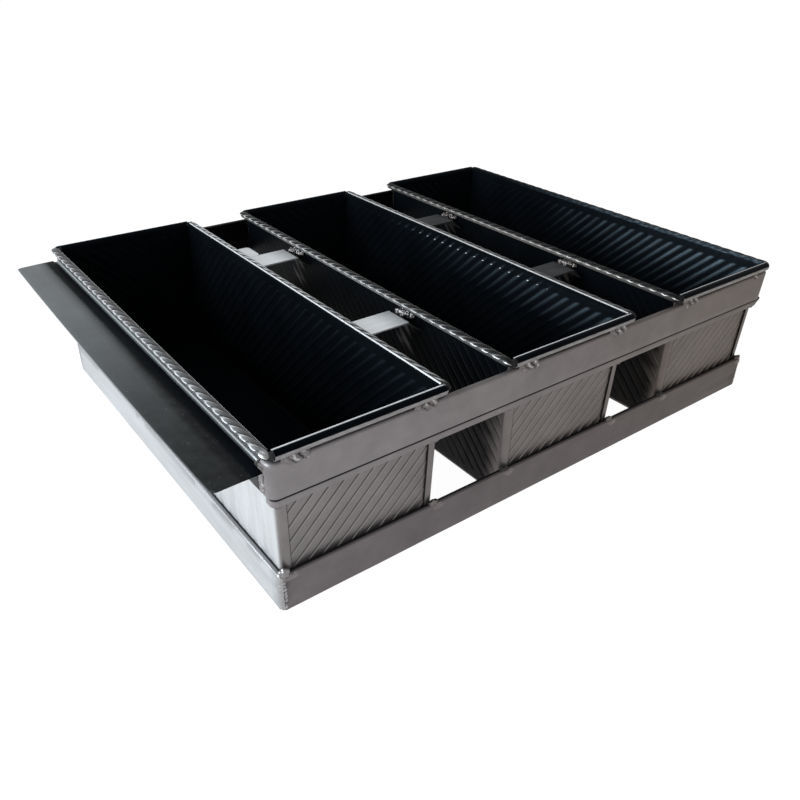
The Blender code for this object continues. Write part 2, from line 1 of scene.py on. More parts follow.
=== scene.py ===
"""Dresses a strap set of three ribbed loaf pans: coated pans with rolled rims, the folded straps and rails
that carry them, braces and weld metal, on a plain white stage. Lengths are in metres."""
import math
from collections import namedtuple

import bmesh
import bpy
from bpy.props import FloatProperty, FloatVectorProperty, PointerProperty
from mathutils import Matrix, Vector, noise


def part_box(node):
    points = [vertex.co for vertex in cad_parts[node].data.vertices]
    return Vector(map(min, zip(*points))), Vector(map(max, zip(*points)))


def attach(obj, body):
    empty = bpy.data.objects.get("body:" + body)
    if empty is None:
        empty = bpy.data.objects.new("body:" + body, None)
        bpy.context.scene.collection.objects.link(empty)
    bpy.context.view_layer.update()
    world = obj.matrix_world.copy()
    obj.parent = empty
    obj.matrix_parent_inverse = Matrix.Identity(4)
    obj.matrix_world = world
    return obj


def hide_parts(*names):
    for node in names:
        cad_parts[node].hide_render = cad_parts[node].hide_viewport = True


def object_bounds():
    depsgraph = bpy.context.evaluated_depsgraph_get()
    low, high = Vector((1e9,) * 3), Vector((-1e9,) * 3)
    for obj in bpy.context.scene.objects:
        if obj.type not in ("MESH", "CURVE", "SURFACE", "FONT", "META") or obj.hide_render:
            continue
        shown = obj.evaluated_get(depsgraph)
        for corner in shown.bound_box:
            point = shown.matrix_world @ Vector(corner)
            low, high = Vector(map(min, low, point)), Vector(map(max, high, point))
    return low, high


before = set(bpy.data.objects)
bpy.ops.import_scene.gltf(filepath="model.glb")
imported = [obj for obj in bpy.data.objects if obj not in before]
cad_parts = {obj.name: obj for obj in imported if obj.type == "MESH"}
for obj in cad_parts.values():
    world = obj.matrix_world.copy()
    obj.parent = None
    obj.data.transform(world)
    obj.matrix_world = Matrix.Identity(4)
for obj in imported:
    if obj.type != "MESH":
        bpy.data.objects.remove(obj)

bl_info = {
    "name": "Loaf pan set",
    "version": (1, 0, 0),
    "blender": (4, 5, 0),
    "location": "View3D > Sidebar > Loaf pans",
    "description": "Builds a welded set of three ribbed loaf pans on its packed frame",
    "category": "Add Mesh",
}

CAD_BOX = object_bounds()
PANS = ("left", "middle", "right")
TINY = 1e-6
MERGE = 1e-5  # vertices closer than this are one

# Shares of finish of a long wall: overspray and painted shade outside in a gap between pans, scuffing and
# painted light on its roped rim, painted light on the bare metal outside, a painted highlight on the coated
# ribs inside, and brightness of the line of scuffed metal and painted highlight along the rim
Wall = namedtuple("Wall", "gap wear shine haze rubbed")
WALLS = {"left": (Wall(0.0, 1.0, 0.55, 0.0, 0.9), Wall(1.0, 1.0, 0.0, 0.05, 0.9)),
         "middle": (Wall(1.0, 0.8, 0.0, 0.0, 0.6), Wall(1.0, 0.6, 0.0, 0.42, 0.7)),
         "right": (Wall(1.0, 0.36, 0.0, 0.0, 0.3), Wall(0.15, 0.1, 0.08, 1.0, 0.0))}

# Line of scuffed metal and painted highlight along the rim of an end panel: brightness, and the degrees of
# the roll that it lies between
FRONT_LINES = {"left": (0.95, 34, 95), "middle": (0.75, 40, 92), "right": (0.35, 52, 92)}
REAR_LINE = (84, 140)

# Weld metal: rim welds as (length, height, depth), the others as sizes along X, Y and Z
RIM_WELD, SMALL_RIM_WELD = (0.0170, 0.0068, 0.0021), (0.0060, 0.0046, 0.0016)
RIM_WELD_INSET = 0.012  # from the pan's inner corner
LIP_WELD = (0.0048, 0.0024, 0.0024)
SEAM_WELD, SEAM_WELD_STEP = (0.0022, 0.0052, 0.0034), 0.0019
FOOT_WELD, DARK_FOOT_WELD = (0.0074, 0.0034, 0.0036), (0.0066, 0.0032, 0.0032)
CORNER_FOOT_WELD, FOOT_SMEAR = (0.0068, 0.0048, 0.0066), (0.0090, 0.0012, 0.0050)
RAIL_WELD, RAIL_WELD_STEP = (0.0063, 0.0063, 0.0075), 0.0025
WELDS_UP_A_SEAM = 9

# Shares of darkening and bright metal on the braces of a gap, and of bright metal on their welds
BRACE_FINISH = {"left": (0.0, 0.72, 0.12), "right": (0.915, 0.0, 0.06)}
BRACE_EDGE, BRACE_BENT_END = 0.0004, 0.011
TAB_REACH, TAB_CORNER, TAB_SHINE = Vector((0.0055, 0.0012, 0.0)), 0.003, 0.75
# Share of painted light on the left rail, which faces the key lamp
LEFT_RAIL_PAINTED_LIGHT = 0.53
SHARP_ANGLE = math.radians(38)  # shading only

COATED, BARE = (1.0, 0.0, 0.0), (0.0, 0.35, 0.0)  # stains: shares of coating, of overspray and painted shade, and of bright metal and painted highlight

# Lamps: side of the square, where it stands and what it is aimed at
KEY_LAMP = 1.1, (-1.5, 0.25, 0.6), (-0.1, 0.0, 0.05)
FILL_LAMP = 1.2, (-0.2, -1.9, 1.5), (0.0, 0.0, 0.05)


def length(name, text, default):
    """A setting that is a length."""
    return FloatProperty(name=name, description=text, default=default, unit="LENGTH", precision=5)


def angle(name, text, degrees):
    """A setting that is an angle."""
    return FloatProperty(name=name, description=text, default=math.radians(degrees), subtype="ANGLE",
                         unit="ROTATION")


def share(name, text, default):
    """A setting between nothing and all."""
    return FloatProperty(name=name, description=text, default=default, min=0, max=1, subtype="FACTOR")


def colour(name, text, default):
    """A setting that is a colour."""
    return FloatVectorProperty(name=name, description=text, default=default, size=3, min=0, max=1,
                               subtype="COLOR")


class PanSizes(bpy.types.PropertyGroup):
    """Sizes of a pan's sheet, ribs and rolled rims."""
    sheet: length("Sheet", "Thickness of the pan sheet", 0.0008)
    bead: length("Rim bead", "Diameter of the rolled rim", 0.0064)
    wire: length("Rim wire", "Diameter of the wire in the rolled rim", 0.0046)
    side_roll: angle("Side roll", "How far the rim of a long wall is rolled over", 158)
    end_roll: angle("End roll", "How far the rim of an end panel is rolled over", 300)
    hood: length("Hood", "How far a rolled rim runs past the corner it covers", 0.0048)
    draft: length("Draft", "How far a wall leans in from rim to floor", 0.0025)
    floor_bend: length("Floor bend", "Radius between floor and long wall", 0.003)
    corner_bend: length("Corner bend", "Radius of the upright corners", 0.0026)
    lap: length("Lap strip", "Width of the corner strip on the end panel", 0.006)
    clearance: length("Clearance", "Gap between touching pieces", 0.0003)
    rib_pitch: length("Rib pitch", "Spacing of the ribs along a wall", 0.0099)
    rib_angle: angle("Rib angle", "Slant of the ribs", 45)
    rib_depth: length("Rib depth", "Height of a wall rib inside the pan", 0.0009)
    rib_width: length("Rib width", "Width of a wall rib", 0.0040)
    wall_groove: length("Wall groove", "Width of a rib's hollow on the outside of a wall", 0.0026)
    rope_slant: FloatProperty(name="Rope slant", default=5.0,
                              description="Run of a crease along the rim per run across it, at its start")
    rib_margin: length("Rib margin", "Plain strip between the ribs and the rim or floor", 0.0012)
    rib_foot: length("Rib foot", "Plain strip between the floor bend and the ribs", 0.004)
    groove_width: length("Groove width", "Width of a groove on the outside of an end panel", 0.0014)
    groove_depth: length("Groove depth", "Depth of a groove on an end panel", 0.0008)
    ridge_width: length("Ridge width", "Width of a groove's back inside the pan", 0.0034)
    rope_depth: length("Rope depth", "Depth of the twisted creases over a side rim", 0.00065)
    hem_wave: length("Hem wave", "Wave of the cut edge under a side rim", 0.00045)


class FrameSizes(bpy.types.PropertyGroup):
    """Sizes of the straps, rails and braces."""
    strap_sheet: length("Strap sheet", "Thickness of the straps", 0.0012)
    strap_height: length("Strap height", "Height of a strap's face", 0.0203)
    strap_bend: length("Strap bend", "Radius of a band round a corner", 0.005)
    fold: length("Fold", "Radius of the folds", 0.0016)
    strap_fold: length("Strap fold", "Radius of the top fold of a band", 0.0024)
    strap_rise: length("Strap rise", "How far the top fold stands above the strap's node", 0.0014)
    fold_reach: length("Fold reach", "Depth of the top fold of a band", 0.0026)
    strap_lean: length("Strap lean", "How far the right side's strap leans outwards at its top", 0.0024)
    lip_set_back: length("Lip set-back", "How far the lip lies behind the band's face", 0.00145)
    lip_sheet: length("Lip sheet", "Thickness of the lip", 0.0008)
    lip_reach: length("Lip reach", "How far the lip runs past the right corner", 0.002)
    return_length: length("Return", "Length of a band's return along the side", 0.009)
    wing_corner: length("Wing corner", "Radius of the wing's outer corners", 0.004)
    wing_bow: length("Wing bow", "How far the wing's edge bows outwards", 0.0015)
    wing_ridge: length("Wing ridge", "Height of the bead along the wing's fold", 0.0007)
    rail_sheet: length("Rail sheet", "Thickness of the rails", 0.0012)
    rail_lip: length("Rail lip", "Depth of the folds of a rail", 0.003)
    rail_notch: length("Rail notch", "Opening at the corners of the rails", 0.002)
    rail_corner: length("Rail corner", "Rounding of the lower corners of a rail", 0.0024)
    edge: length("Edge", "Rounding of cut edges", 0.00022)
    dent: length("Dents", "Unevenness of the flat sheet", 0.00010)


class Finishes(bpy.types.PropertyGroup):
    """Colours of the finishes."""
    coating: colour("Coating", "Dark release coating of the pans", (0.0016, 0.0022, 0.0030))
    pan_metal: colour("Pan metal", "Bare outside of the pan sheet", (0.205, 0.190, 0.190))
    strap_metal: colour("Strap metal", "Burnished sheet of the upper straps", (0.222, 0.208, 0.214))
    rail_metal: colour("Rail metal", "Sheet of the lower rails", (0.151, 0.137, 0.143))
    brace_metal: colour("Brace metal", "Sheet of the braces", (0.290, 0.305, 0.325))
    wing_metal: colour("Wing metal", "Sheet of the wing", (0.185, 0.198, 0.202))
    weld_metal: colour("Weld metal", "Bare weld metal", (0.168, 0.154, 0.157))
    heat: colour("Heat marks", "Brown heat marks on the welds", (0.150, 0.120, 0.100))
    # Painted highlight: the coating on the ribs and rims drawn lit grey-blue
    rib_highlight_colour: colour("Rubbed coating", "Coating rubbed grey on the ribs", (0.105, 0.140, 0.170))
    # Bright metal where the coating is scuffed off, and also the colour of painted highlights and painted
    # light
    bright_metal_and_highlight: colour("Polished metal", "Rubbed bright metal on rims and edges", (0.720, 0.750, 0.770))
    # Painted shade: the metal darker and warmer towards the right end, away from the key lamp
    painted_right_shade: colour("Warm shade", "Shade of the metal towards the right end", (0.54, 0.47, 0.40))
    wire_metal: colour("Wire metal", "Steel of the rim wires", (0.330, 0.335, 0.345))
    # Overspray, and also the colour of painted shade in slots, gaps, folds and round welds
    soot: colour("Soot", "Dark overspray on the metal", (0.006, 0.0066, 0.0072))


class StageSettings(bpy.types.PropertyGroup):
    """Camera, lamps and floor."""
    lens: FloatProperty(name="Lens", description="Focal length", default=34.667, subtype="DISTANCE_CAMERA")
    place: FloatVectorProperty(name="Camera place", description="Where the camera stands", size=3,
                               default=(-0.33489, -0.44372, 0.31973), subtype="TRANSLATION")
    heading: angle("Heading", "Turn of the camera about the upright axis", -37.487)
    tilt: angle("Tilt", "How far the camera looks down", 31.207)
    roll: angle("Roll", "Roll of the camera", 1.028)
    shift: FloatVectorProperty(name="Shift", description="Framing shift", size=2, default=(0.0024, -0.00125))
    key: FloatProperty(name="Key", description="Power of the left lamp", default=46.0, subtype="POWER")
    fill: FloatProperty(name="Fill", description="Power of the front lamp", default=4.0, subtype="POWER")
    key_tint: colour("Key tint", "Colour of the left lamp", (0.86, 0.95, 1.0))
    sky: share("Sky", "Strength of the soft light from all round", 0.5)
    floor_glow: share("Floor glow", "Share of the floor's white that the shadow leaves", 0.96)


GROUPS = (("pan_sizes", PanSizes), ("frame_sizes", FrameSizes), ("finishes", Finishes),
          ("stage_settings", StageSettings))


def smooth_step(low, high, value):
    """Rises smoothly from 0 at low to 1 at high."""
    part = min(1.0, max(0.0, (value - low) / (high - low)))
    return part * part * (3 - 2 * part)


def bump(distance, half):
    """Height of a rounded ridge of a half width, from 1 at its crest to 0."""
    return 0.5 + 0.5 * math.cos(math.pi * min(1.0, distance / half))


def spread(low, high, steps):
    """Evenly spaced places from low to high."""
    return [low + (high - low) * step / steps for step in range(steps + 1)]


def edge_verts(edges):
    """The vertices of some edges, each once."""
    return list({vert for edge in edges for vert in edge.verts})


def edges_where(mesh, test):
    """The edges whose two ends both pass a test."""
    return [edge for edge in mesh.edges if all(test(vert.co) for vert in edge.verts)]


def polyline(mesh, points):
    """Joins points with edges and returns the edges."""
    verts = [mesh.verts.new(point) for point in points]
    return [mesh.edges.new(pair) for pair in zip(verts, verts[1:])]


def pull(mesh, edges, offset, steps=1):
    """Extrudes edges by an offset in even steps and returns the far edges."""
    for _ in range(steps):
        made = bmesh.ops.extrude_edge_only(mesh, edges=edges)["geom"]
        verts = {item for item in made if isinstance(item, bmesh.types.BMVert)}
        bmesh.ops.translate(mesh, verts=list(verts), vec=Vector(offset) / steps)
        edges = [item for item in made
                 if isinstance(item, bmesh.types.BMEdge) and verts.issuperset(item.verts)]
    return edges


def turn(mesh, edges, centre, steps):
    """Sweeps edges a quarter turn about the upright axis and returns the far edges."""
    swept = bmesh.ops.spin(mesh, geom=edges + edge_verts(edges), cent=centre, axis=(0, 0, 1),
                           angle=math.pi / 2, steps=steps, use_duplicate=False)["geom_last"]
    return [item for item in swept if isinstance(item, bmesh.types.BMEdge)]


def rounded(points, radius, steps):
    """The points of an open path with its inner corners turned into arcs."""
    path = [Vector(points[0])]
    for before, corner, after in zip(points, points[1:], points[2:]):
        corner = Vector(corner)
        back = (Vector(before) - corner).normalized()
        ahead = (Vector(after) - corner).normalized()
        half_turn = (math.pi - back.angle(ahead)) / 2
        reach = radius * math.tan(half_turn)
        centre = corner + (back + ahead).normalized() * radius / math.cos(half_turn)
        start = (corner + back * reach - centre).normalized()
        stop = (corner + ahead * reach - centre).normalized()
        for step in range(steps + 1):
            path.append(centre + start.slerp(stop, step / steps) * radius)
    path.append(Vector(points[-1]))
    return path


def face_towards(mesh, direction):
    """Makes the faces agree, with their sum of areas pointing along a direction."""
    bmesh.ops.recalc_face_normals(mesh, faces=mesh.faces[:])
    total = Vector()
    for face in mesh.faces:
        total += face.normal * face.calc_area()
    if total.dot(Vector(direction)) < 0:
        bmesh.ops.reverse_faces(mesh, faces=mesh.faces[:])


def lay_grid(mesh, across, along):
    """A flat sheet with its lines at the given places along X and Y."""
    columns, rows = len(across) - 1, len(along) - 1
    bmesh.ops.create_grid(mesh, x_segments=columns, y_segments=rows, size=0.5)
    for vert in mesh.verts:
        column, row = round((vert.co.x + 0.5) * columns), round((vert.co.y + 0.5) * rows)
        vert.co = (across[column], along[row], 0)


def clip_sides(mesh, half):
    """Cuts a flat sheet off square at both ends of X."""
    for side in (-1, 1):
        bmesh.ops.bisect_plane(mesh, geom=mesh.verts[:] + mesh.edges[:] + mesh.faces[:], dist=TINY,
                               plane_co=(side * half, 0, 0), plane_no=(side, 0, 0), clear_outer=True)


def thicken_flat(mesh, sheet):
    """Gives a flat sheet its thickness downwards; faces under the top one get the second material."""
    bmesh.ops.solidify(mesh, geom=mesh.faces[:], thickness=sheet)
    top = max(vert.co.z for vert in mesh.verts)
    for vert in mesh.verts:
        vert.co.z -= top
    for face in mesh.faces:
        face.material_index = 0 if all(vert.co.z > -sheet / 2 for vert in face.verts) else 1


def stains(mesh):
    """The stain layers of a mesh: the shares of coating, of overspray and painted shade, and of scuffed
    bright metal and painted highlight.
    """
    layers = mesh.verts.layers.float
    for name in ("coat", "soot", "polish"):
        if name not in layers:
            layers.new(name)
    return [layers[name] for name in ("coat", "soot", "polish")]


def half_turned(mesh):
    """Turns a mesh half round about the upright axis."""
    bmesh.ops.rotate(mesh, verts=mesh.verts[:], cent=(0, 0, 0), matrix=Matrix.Rotation(math.pi, 3, "Z"))


def shifted(mesh, x):
    """Moves a mesh along X."""
    bmesh.ops.translate(mesh, verts=mesh.verts[:], vec=(x, 0, 0))


def add_piece(name, mesh, materials, nodes):
    """Makes a finished object of a mesh, held inside the CAD box, that rides on the frame for CAD nodes."""
    for vert in mesh.verts:
        vert.co = [min(max(part, low), high) for part, low, high in zip(vert.co, *CAD_BOX)]
    data = bpy.data.meshes.new(name)
    mesh.to_mesh(data)
    mesh.free()
    for material in materials:
        data.materials.append(material)
    data.shade_smooth()
    data.set_sharp_from_angle(angle=SHARP_ANGLE)
    piece = bpy.data.objects.new(name, data)
    bpy.context.scene.collection.objects.link(piece)
    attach(piece, "root")
    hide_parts(*nodes)
    return piece


def pan_centre(name):
    """Middle of a pan along X."""
    low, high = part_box(name + "_pan_trough")
    return (low.x + high.x) / 2


class PanShape:
    """Places on one pan, about its own centre, from the frame and the sizes."""

    def __init__(self, sizes):
        low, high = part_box("middle_pan_trough")
        self.sizes = sizes
        self.top, self.under = high.z, low.z
        self.bead = sizes.bead / 2
        self.half_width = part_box("middle_pan_front_end")[1].x - pan_centre("middle") - sizes.bead
        self.half_length = high.y - sizes.bead
        self.floor_z = self.under + sizes.sheet
        self.wall_base = self.floor_z + sizes.floor_bend
        self.rim_z = self.top - self.bead
        self.collar = self.rim_z - self.bead - sizes.rib_margin
        self.rib_base = self.wall_base + sizes.rib_foot
        self.lap_y = self.half_length + sizes.sheet + sizes.clearance
        self.corner_y = self.lap_y - sizes.corner_bend
        bend = sizes.corner_bend
        self.end_half = (self.half_width - bend - sizes.clearance
                         + math.sqrt(bend ** 2 - (bend - sizes.clearance) ** 2))
        self.slant = 1 / math.tan(sizes.rib_angle)
        self.floor_run = self.half_width - sizes.floor_bend
        self.wall_run = self.floor_run + sizes.floor_bend * math.pi / 2
        self.collar_run = self.wall_run + self.collar - self.wall_base
        self.bead_run = self.wall_run + self.rim_z - self.wall_base
        self.bend_run = sizes.corner_bend * math.pi / 2
        self.lap_run = sizes.lap - sizes.corner_bend
        self.floor_reach = self.half_length + sizes.sheet - self.corner_y
        self.rail_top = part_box("lower_left_rail")[1].z
        self.braces = [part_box("brace_left_" + row)[0].y for row in ("front", "rear")]

    def lean(self, mesh):
        """Gives a pan's sheet its draft."""
        for vert in mesh.verts:
            inwards = self.sizes.draft * (self.top - vert.co.z) / (self.top - self.under)
            vert.co.x *= (self.half_width - inwards) / self.half_width
            vert.co.y *= (self.half_length - inwards) / self.half_length

    def shear(self, run):
        """How far ribs, and creases past the rim, have slanted along the wall at a run across the sheet."""
        wall = max(0.0, min(run, self.bead_run) - self.wall_run) * self.slant
        past = max(0.0, run - self.bead_run)
        return wall + past * self.sizes.rope_slant * (1 - 0.38 * past / (self.bead * self.sizes.side_roll))

    def rib_off(self, place):
        """Place across the nearest rib, square to it."""
        pitch = self.sizes.rib_pitch
        return (place - round(place / pitch) * pitch) * math.sin(self.sizes.rib_angle)

    def fold(self, place):
        """Part of the way across a twisted fold of the rim, from 0 at its front crease to 1 at its rear."""
        return (place / self.sizes.rib_pitch - 0.5) % 1.0

    def rib_end(self, z, past):
        """Distance beyond the straight part of a rib at a height, or past its side limit."""
        half = self.sizes.rib_width / 2
        return max(0.0, self.rib_base + half - z, z - self.collar + half, past + half)


def roll_point(radius, turned, past, reach):
    """Place on a rolled rim in its own section, about its wire; drawn in to a round end past a corner."""
    part = max(0.0, min(1.0, past / reach))
    size = radius * math.sqrt(1 - 0.94 * part ** 2)
    return size * math.cos(turned), size * math.sin(turned)


def trough_blank(shape):
    """The flat blank of a trough's left half: X along the pan, Y across the sheet from the floor's middle.
    Its lines follow the ribs. It has flaps for the corner strips, the floor's ends and the rim's hoods."""
    sizes = shape.sizes
    pitch, half_rib, plain = sizes.rib_pitch, sizes.rib_width / 2, 0.010
    foot_run = shape.wall_run + sizes.rib_foot
    rail_run = shape.wall_run + shape.rail_top - shape.wall_base
    rows = [0, shape.floor_run / 2] + spread(shape.floor_run, shape.wall_run, 5)
    rows += spread(foot_run, foot_run + half_rib, 4) + spread(foot_run + plain, shape.collar_run - plain, 5)
    rows += spread(shape.collar_run - half_rib, shape.collar_run, 4)
    rows += spread(shape.bead_run, shape.bead_run + shape.bead * sizes.side_roll, 18)
    rows = sorted(rows + spread(rail_run - 0.001, rail_run + 0.0014, 2))
    first = math.floor(-(shape.corner_y + shape.shear(rows[-1])) / pitch) - 1
    last = math.ceil(shape.corner_y / pitch) + 1
    mesh = bmesh.new()
    lay_grid(mesh, spread(first * pitch, last * pitch, (last - first) * 10), rows)
    for vert in mesh.verts:
        vert.co.x += shape.shear(vert.co.y)
    clip_sides(mesh, shape.corner_y)
    lap_edge = 0.0006
    covering = shape.bead_run + shape.bead * math.radians(62)
    for side in (-1, 1):
        def at_end(low, high):
            return edges_where(mesh, lambda co: abs(co.x - side * shape.corner_y) < TINY
                               and low - TINY < co.y < high + TINY)
        flap = pull(mesh, at_end(shape.wall_run, shape.collar_run), (side * shape.bend_run, 0, 0), 6)
        flap = pull(mesh, flap, (side * (shape.lap_run - lap_edge), 0, 0))
        pull(mesh, flap, (side * lap_edge, 0, 0))
        pull(mesh, at_end(shape.collar_run, shape.bead_run), (side * shape.bend_run * 0.85, 0, 0), 4)
        pull(mesh, at_end(0, shape.wall_run), (side * shape.floor_reach, 0, 0), 2)
        to_hood = side * (shape.half_length - shape.corner_y)
        rim = pull(mesh, at_end(shape.bead_run, rows[-1]), (to_hood, 0, 0))
        hood = [edge for edge in rim if all(vert.co.y > covering for vert in edge.verts)]
        pull(mesh, hood, (side * sizes.hood, 0, 0), 9)
    thicken_flat(mesh, sizes.sheet)
    return mesh


class Spot:
    """A vertex of a trough's blank: place along the pan, run across the sheet, depth in the sheet."""

    def __init__(self, shape, co, front):
        self.along, self.run, self.depth = co
        self.place = self.along - shape.shear(self.run)  # along the pan, followed down its rib to the floor
        self.coated = self.depth > -shape.sizes.sheet / 2
        self.inside = shape.corner_y - abs(self.along)
        self.over = max(0.0, -self.inside)  # beyond the start of the corner bend
        self.from_front = shape.corner_y - front * self.along
        self.near_front = 1 - smooth_step(0.020, 0.060, self.from_front)


def fold_floor(shape, spot):
    """Place of a spot on the floor or on the bend up from it, which is drawn in under the corners."""
    if spot.run <= shape.floor_run + TINY:
        return -spot.run, spot.along, shape.floor_z + spot.depth
    radius = shape.sizes.floor_bend - spot.depth
    turned = (spot.run - shape.floor_run) / shape.sizes.floor_bend
    drawn_in = 0.0022 * spot.over / shape.floor_reach
    return (drawn_in - shape.floor_run - radius * math.sin(turned), spot.along,
            shape.wall_base - radius * math.cos(turned))


def fold_wall(shape, spot, wall):
    """Place of a spot on a wall or on its corner strip, and the share of a rib's height there."""
    sizes, bend = shape.sizes, shape.sizes.corner_bend
    z = shape.wall_base + spot.run - shape.wall_run
    off = math.hypot(shape.rib_off(spot.place), shape.rib_end(z, 0.0015 - spot.inside))
    rib = bump(off, (sizes.rib_width if spot.coated else sizes.wall_groove) / 2)
    shown = 1.0 if spot.coated else 0.25 - 0.15 * wall.gap + 0.6 * wall.gap * spot.near_front
    radius = bend - spot.depth - sizes.rib_depth * rib * shown
    turned = min(spot.over / bend, math.pi / 2)
    x = bend - radius * math.cos(turned) + max(0.0, spot.over - shape.bend_run)
    y = min(abs(spot.along), shape.corner_y) + radius * math.sin(turned)
    return (x - shape.half_width, math.copysign(y, spot.along), z), rib


def paint_outside(shape, spot, wall, z, front):
    """Stains outside a wall: overspray and painted shade in a gap with a light patch beyond each brace, bare
    metal towards the corners, painted shade in the slot over the rail and along the strip's cut edge, and
    painted light on a wall that faces the key lamp."""
    past_brace, patch_half = 0.018, 0.017
    # Painted shade in the slot between rail and wall, and along the corner strip's cut edge
    over_rail = smooth_step(0.0014, 0.0002, z - shape.rail_top) * smooth_step(-0.004, -0.001, spot.inside)
    cut_edge = smooth_step(-0.0005, 0.0, spot.over - shape.bend_run - shape.lap_run)
    # In a gap, overspray and painted shade together
    in_gap = wall.gap * smooth_step(-0.001, 0.016 * wall.wear, spot.inside)
    dirt_and_painted_shade = max((1 - wall.gap) * over_rail, cut_edge, (0.94 - 0.05 * spot.near_front) * in_gap)
    patch = 0.0
    if front < 0:
        patch = max(bump(abs(spot.along - brace - past_brace), patch_half) for brace in shape.braces)
        patch *= smooth_step(0.050, 0.075, z) * (1 - smooth_step(0.092, 0.098, z))
        patch *= 0.55 + 0.45 * bump(abs(shape.rib_off(spot.place)), 0.0030)
        dirt_and_painted_shade -= 0.52 * wall.gap * patch
    coat = (wall.gap * smooth_step(0.020, 0.050, spot.from_front + 1.2 * (z - 0.055))
            * smooth_step(-0.001, 0.0, spot.inside) * (1 - patch))
    # Painted light on a wall facing the key lamp, a little stronger at the front, fading round the corner
    # bend
    round_corner = smooth_step(0.05, 0.55, spot.over / shape.bend_run)
    return coat, dirt_and_painted_shade, wall.shine * (1.0 + 0.12 * spot.near_front) * (1 - round_corner)


def paint_inside(shape, spot, wall, z, rib):
    """Stains inside a wall: a painted highlight high on the ribs towards the front, with painted highlights
    at the rib ends where that highlight is of middling strength.
    """
    # Painted highlight of the lamp on the coated ribs, and bare bright spots as painted highlights at the
    # rib ends
    strong = smooth_step(0.5, 1.0, wall.haze)
    high = smooth_step(0.072 - 0.022 * strong, 0.098, z) ** 2
    high *= 1 - smooth_step(0.03, 0.24, spot.from_front)
    mottle = 0.85 + 0.6 * noise.noise(Vector((260 * spot.along, 260 * spot.run, 0)))
    rib_end_highlight = bump(abs(z - shape.collar + 0.0005), 0.0009) * bump(abs(shape.rib_off(spot.place)), 0.0012)
    rib_end_highlight *= (smooth_step(0.2, 0.4, wall.haze) * (1 - strong) * smooth_step(0.045, 0.09, spot.from_front)
            * (1 - smooth_step(0.19, 0.27, spot.from_front)))
    return 1 - rib_end_highlight, 0.0, max(wall.haze * high * (0.05 + 0.95 * rib ** 0.8) * mottle, 0.6 * rib_end_highlight)


def roll_rim(shape, spot, wall):
    """Place of a spot on a side rim, roped with twisted folds down to its wavy hem, and its stains: a line
    of scuffed metal and painted highlight before the folds, painted highlights on their crests with painted
    shade down each fold, and a mottled painted highlight on a wall with a strong rib highlight."""
    sizes, bead = shape.sizes, shape.bead
    turned = (spot.run - shape.bead_run) / bead
    roped = smooth_step(math.radians(58), math.radians(74), turned)
    run = spot.run + (sizes.hem_wave * math.cos(2 * math.pi * spot.place / sizes.rib_pitch)
                      * smooth_step(1.6, 2.7, turned))
    turned = (run - shape.bead_run) / bead
    past = abs(spot.along) - shape.half_length
    depth, stain = spot.depth, BARE
    if spot.coated:
        hem = smooth_step(sizes.side_roll - 0.20, sizes.side_roll - 0.12, turned)
        part, crest = shape.fold(spot.place), 0.72
        low = ((crest - part) / crest) ** 1.5 if part < crest else ((part - crest) / (1 - crest)) ** 2
        depth -= sizes.rope_depth * low * roped * (1 - 0.85 * hem)
        # Scuffed metal under a painted highlight in a line along the rim's inner edge
        line = (smooth_step(math.radians(37), math.radians(43), turned)
                * (1 - smooth_step(math.radians(51), math.radians(59), turned)))
        to_rear = smooth_step(0.05, 0.30, spot.from_front)
        # Scuffing and painted light of the rim, dimmer towards the front of a wall in a gap
        worn_and_lit = wall.wear * (1 - 0.4 * wall.gap * (1 - to_rear))
        hooded = smooth_step(-0.002, 0.002, past)
        # Painted highlight on each fold's crest, and painted shade grading down to the next fold
        crest_highlight = bump(abs(part - 0.87 + 0.04 * wall.gap), 0.15 + 0.08 * wall.gap) * (1 - hooded)
        body = 0.52 - 0.34 * wall.gap
        broken = 0.12 + 0.88 * smooth_step(-0.2, 0.5, noise.noise(Vector((420 * spot.along, 600 * run, 3))))
        # Mottled painted highlight on the rim's inner side of a strongly highlit wall, fading to the rear
        bead_highlight = 0.95 * smooth_step(0.5, 1.0, wall.haze) * smooth_step(0.05, 0.4, turned)
        bead_highlight *= broken * (1 - to_rear)
        stain = (1 - max(line * min(1.0, 2 * wall.rubbed), hem, roped),
                 roped * (1 - hem) * (1 - worn_and_lit * crest_highlight) * (1.0 - body * part * worn_and_lit)
                 * (1 - 0.6 * hooded * (1 - wall.gap)),
                 max(wall.rubbed * line, (0.15 + 0.45 * worn_and_lit) * hem,
                     roped * worn_and_lit * (0.15 - 0.12 * wall.gap + 0.7 * crest_highlight), bead_highlight * (1 - roped)))
    across, up = roll_point(bead + depth, turned, past, sizes.hood)
    return (across - shape.half_width - bead, spot.along, up + shape.rim_z), stain


def trough_half(shape, front, wall):
    """The left half of a trough: floor, wall, rolled rim and corner strips, folded up from its flat blank.
    front is the end of Y that faces the front."""
    mesh = trough_blank(shape)
    layers = stains(mesh)
    for vert in mesh.verts:
        spot = Spot(shape, vert.co, front)
        stain = COATED if spot.coated else BARE
        if spot.run < shape.wall_run - TINY:
            vert.co = fold_floor(shape, spot)
        elif spot.run <= shape.bead_run + TINY:
            vert.co, rib = fold_wall(shape, spot, wall)
            stain = (paint_inside(shape, spot, wall, vert.co.z, rib) if spot.coated
                     else paint_outside(shape, spot, wall, vert.co.z, front))
        else:
            vert.co, stain = roll_rim(shape, spot, wall)
        for layer, value in zip(layers, stain):
            vert[layer] = value
    return mesh


def join(mesh, other):
    """Adds a second mesh to the first one."""
    data = bpy.data.meshes.new("joining")
    other.to_mesh(data)
    other.free()
    mesh.from_mesh(data)
    bpy.data.meshes.remove(data)


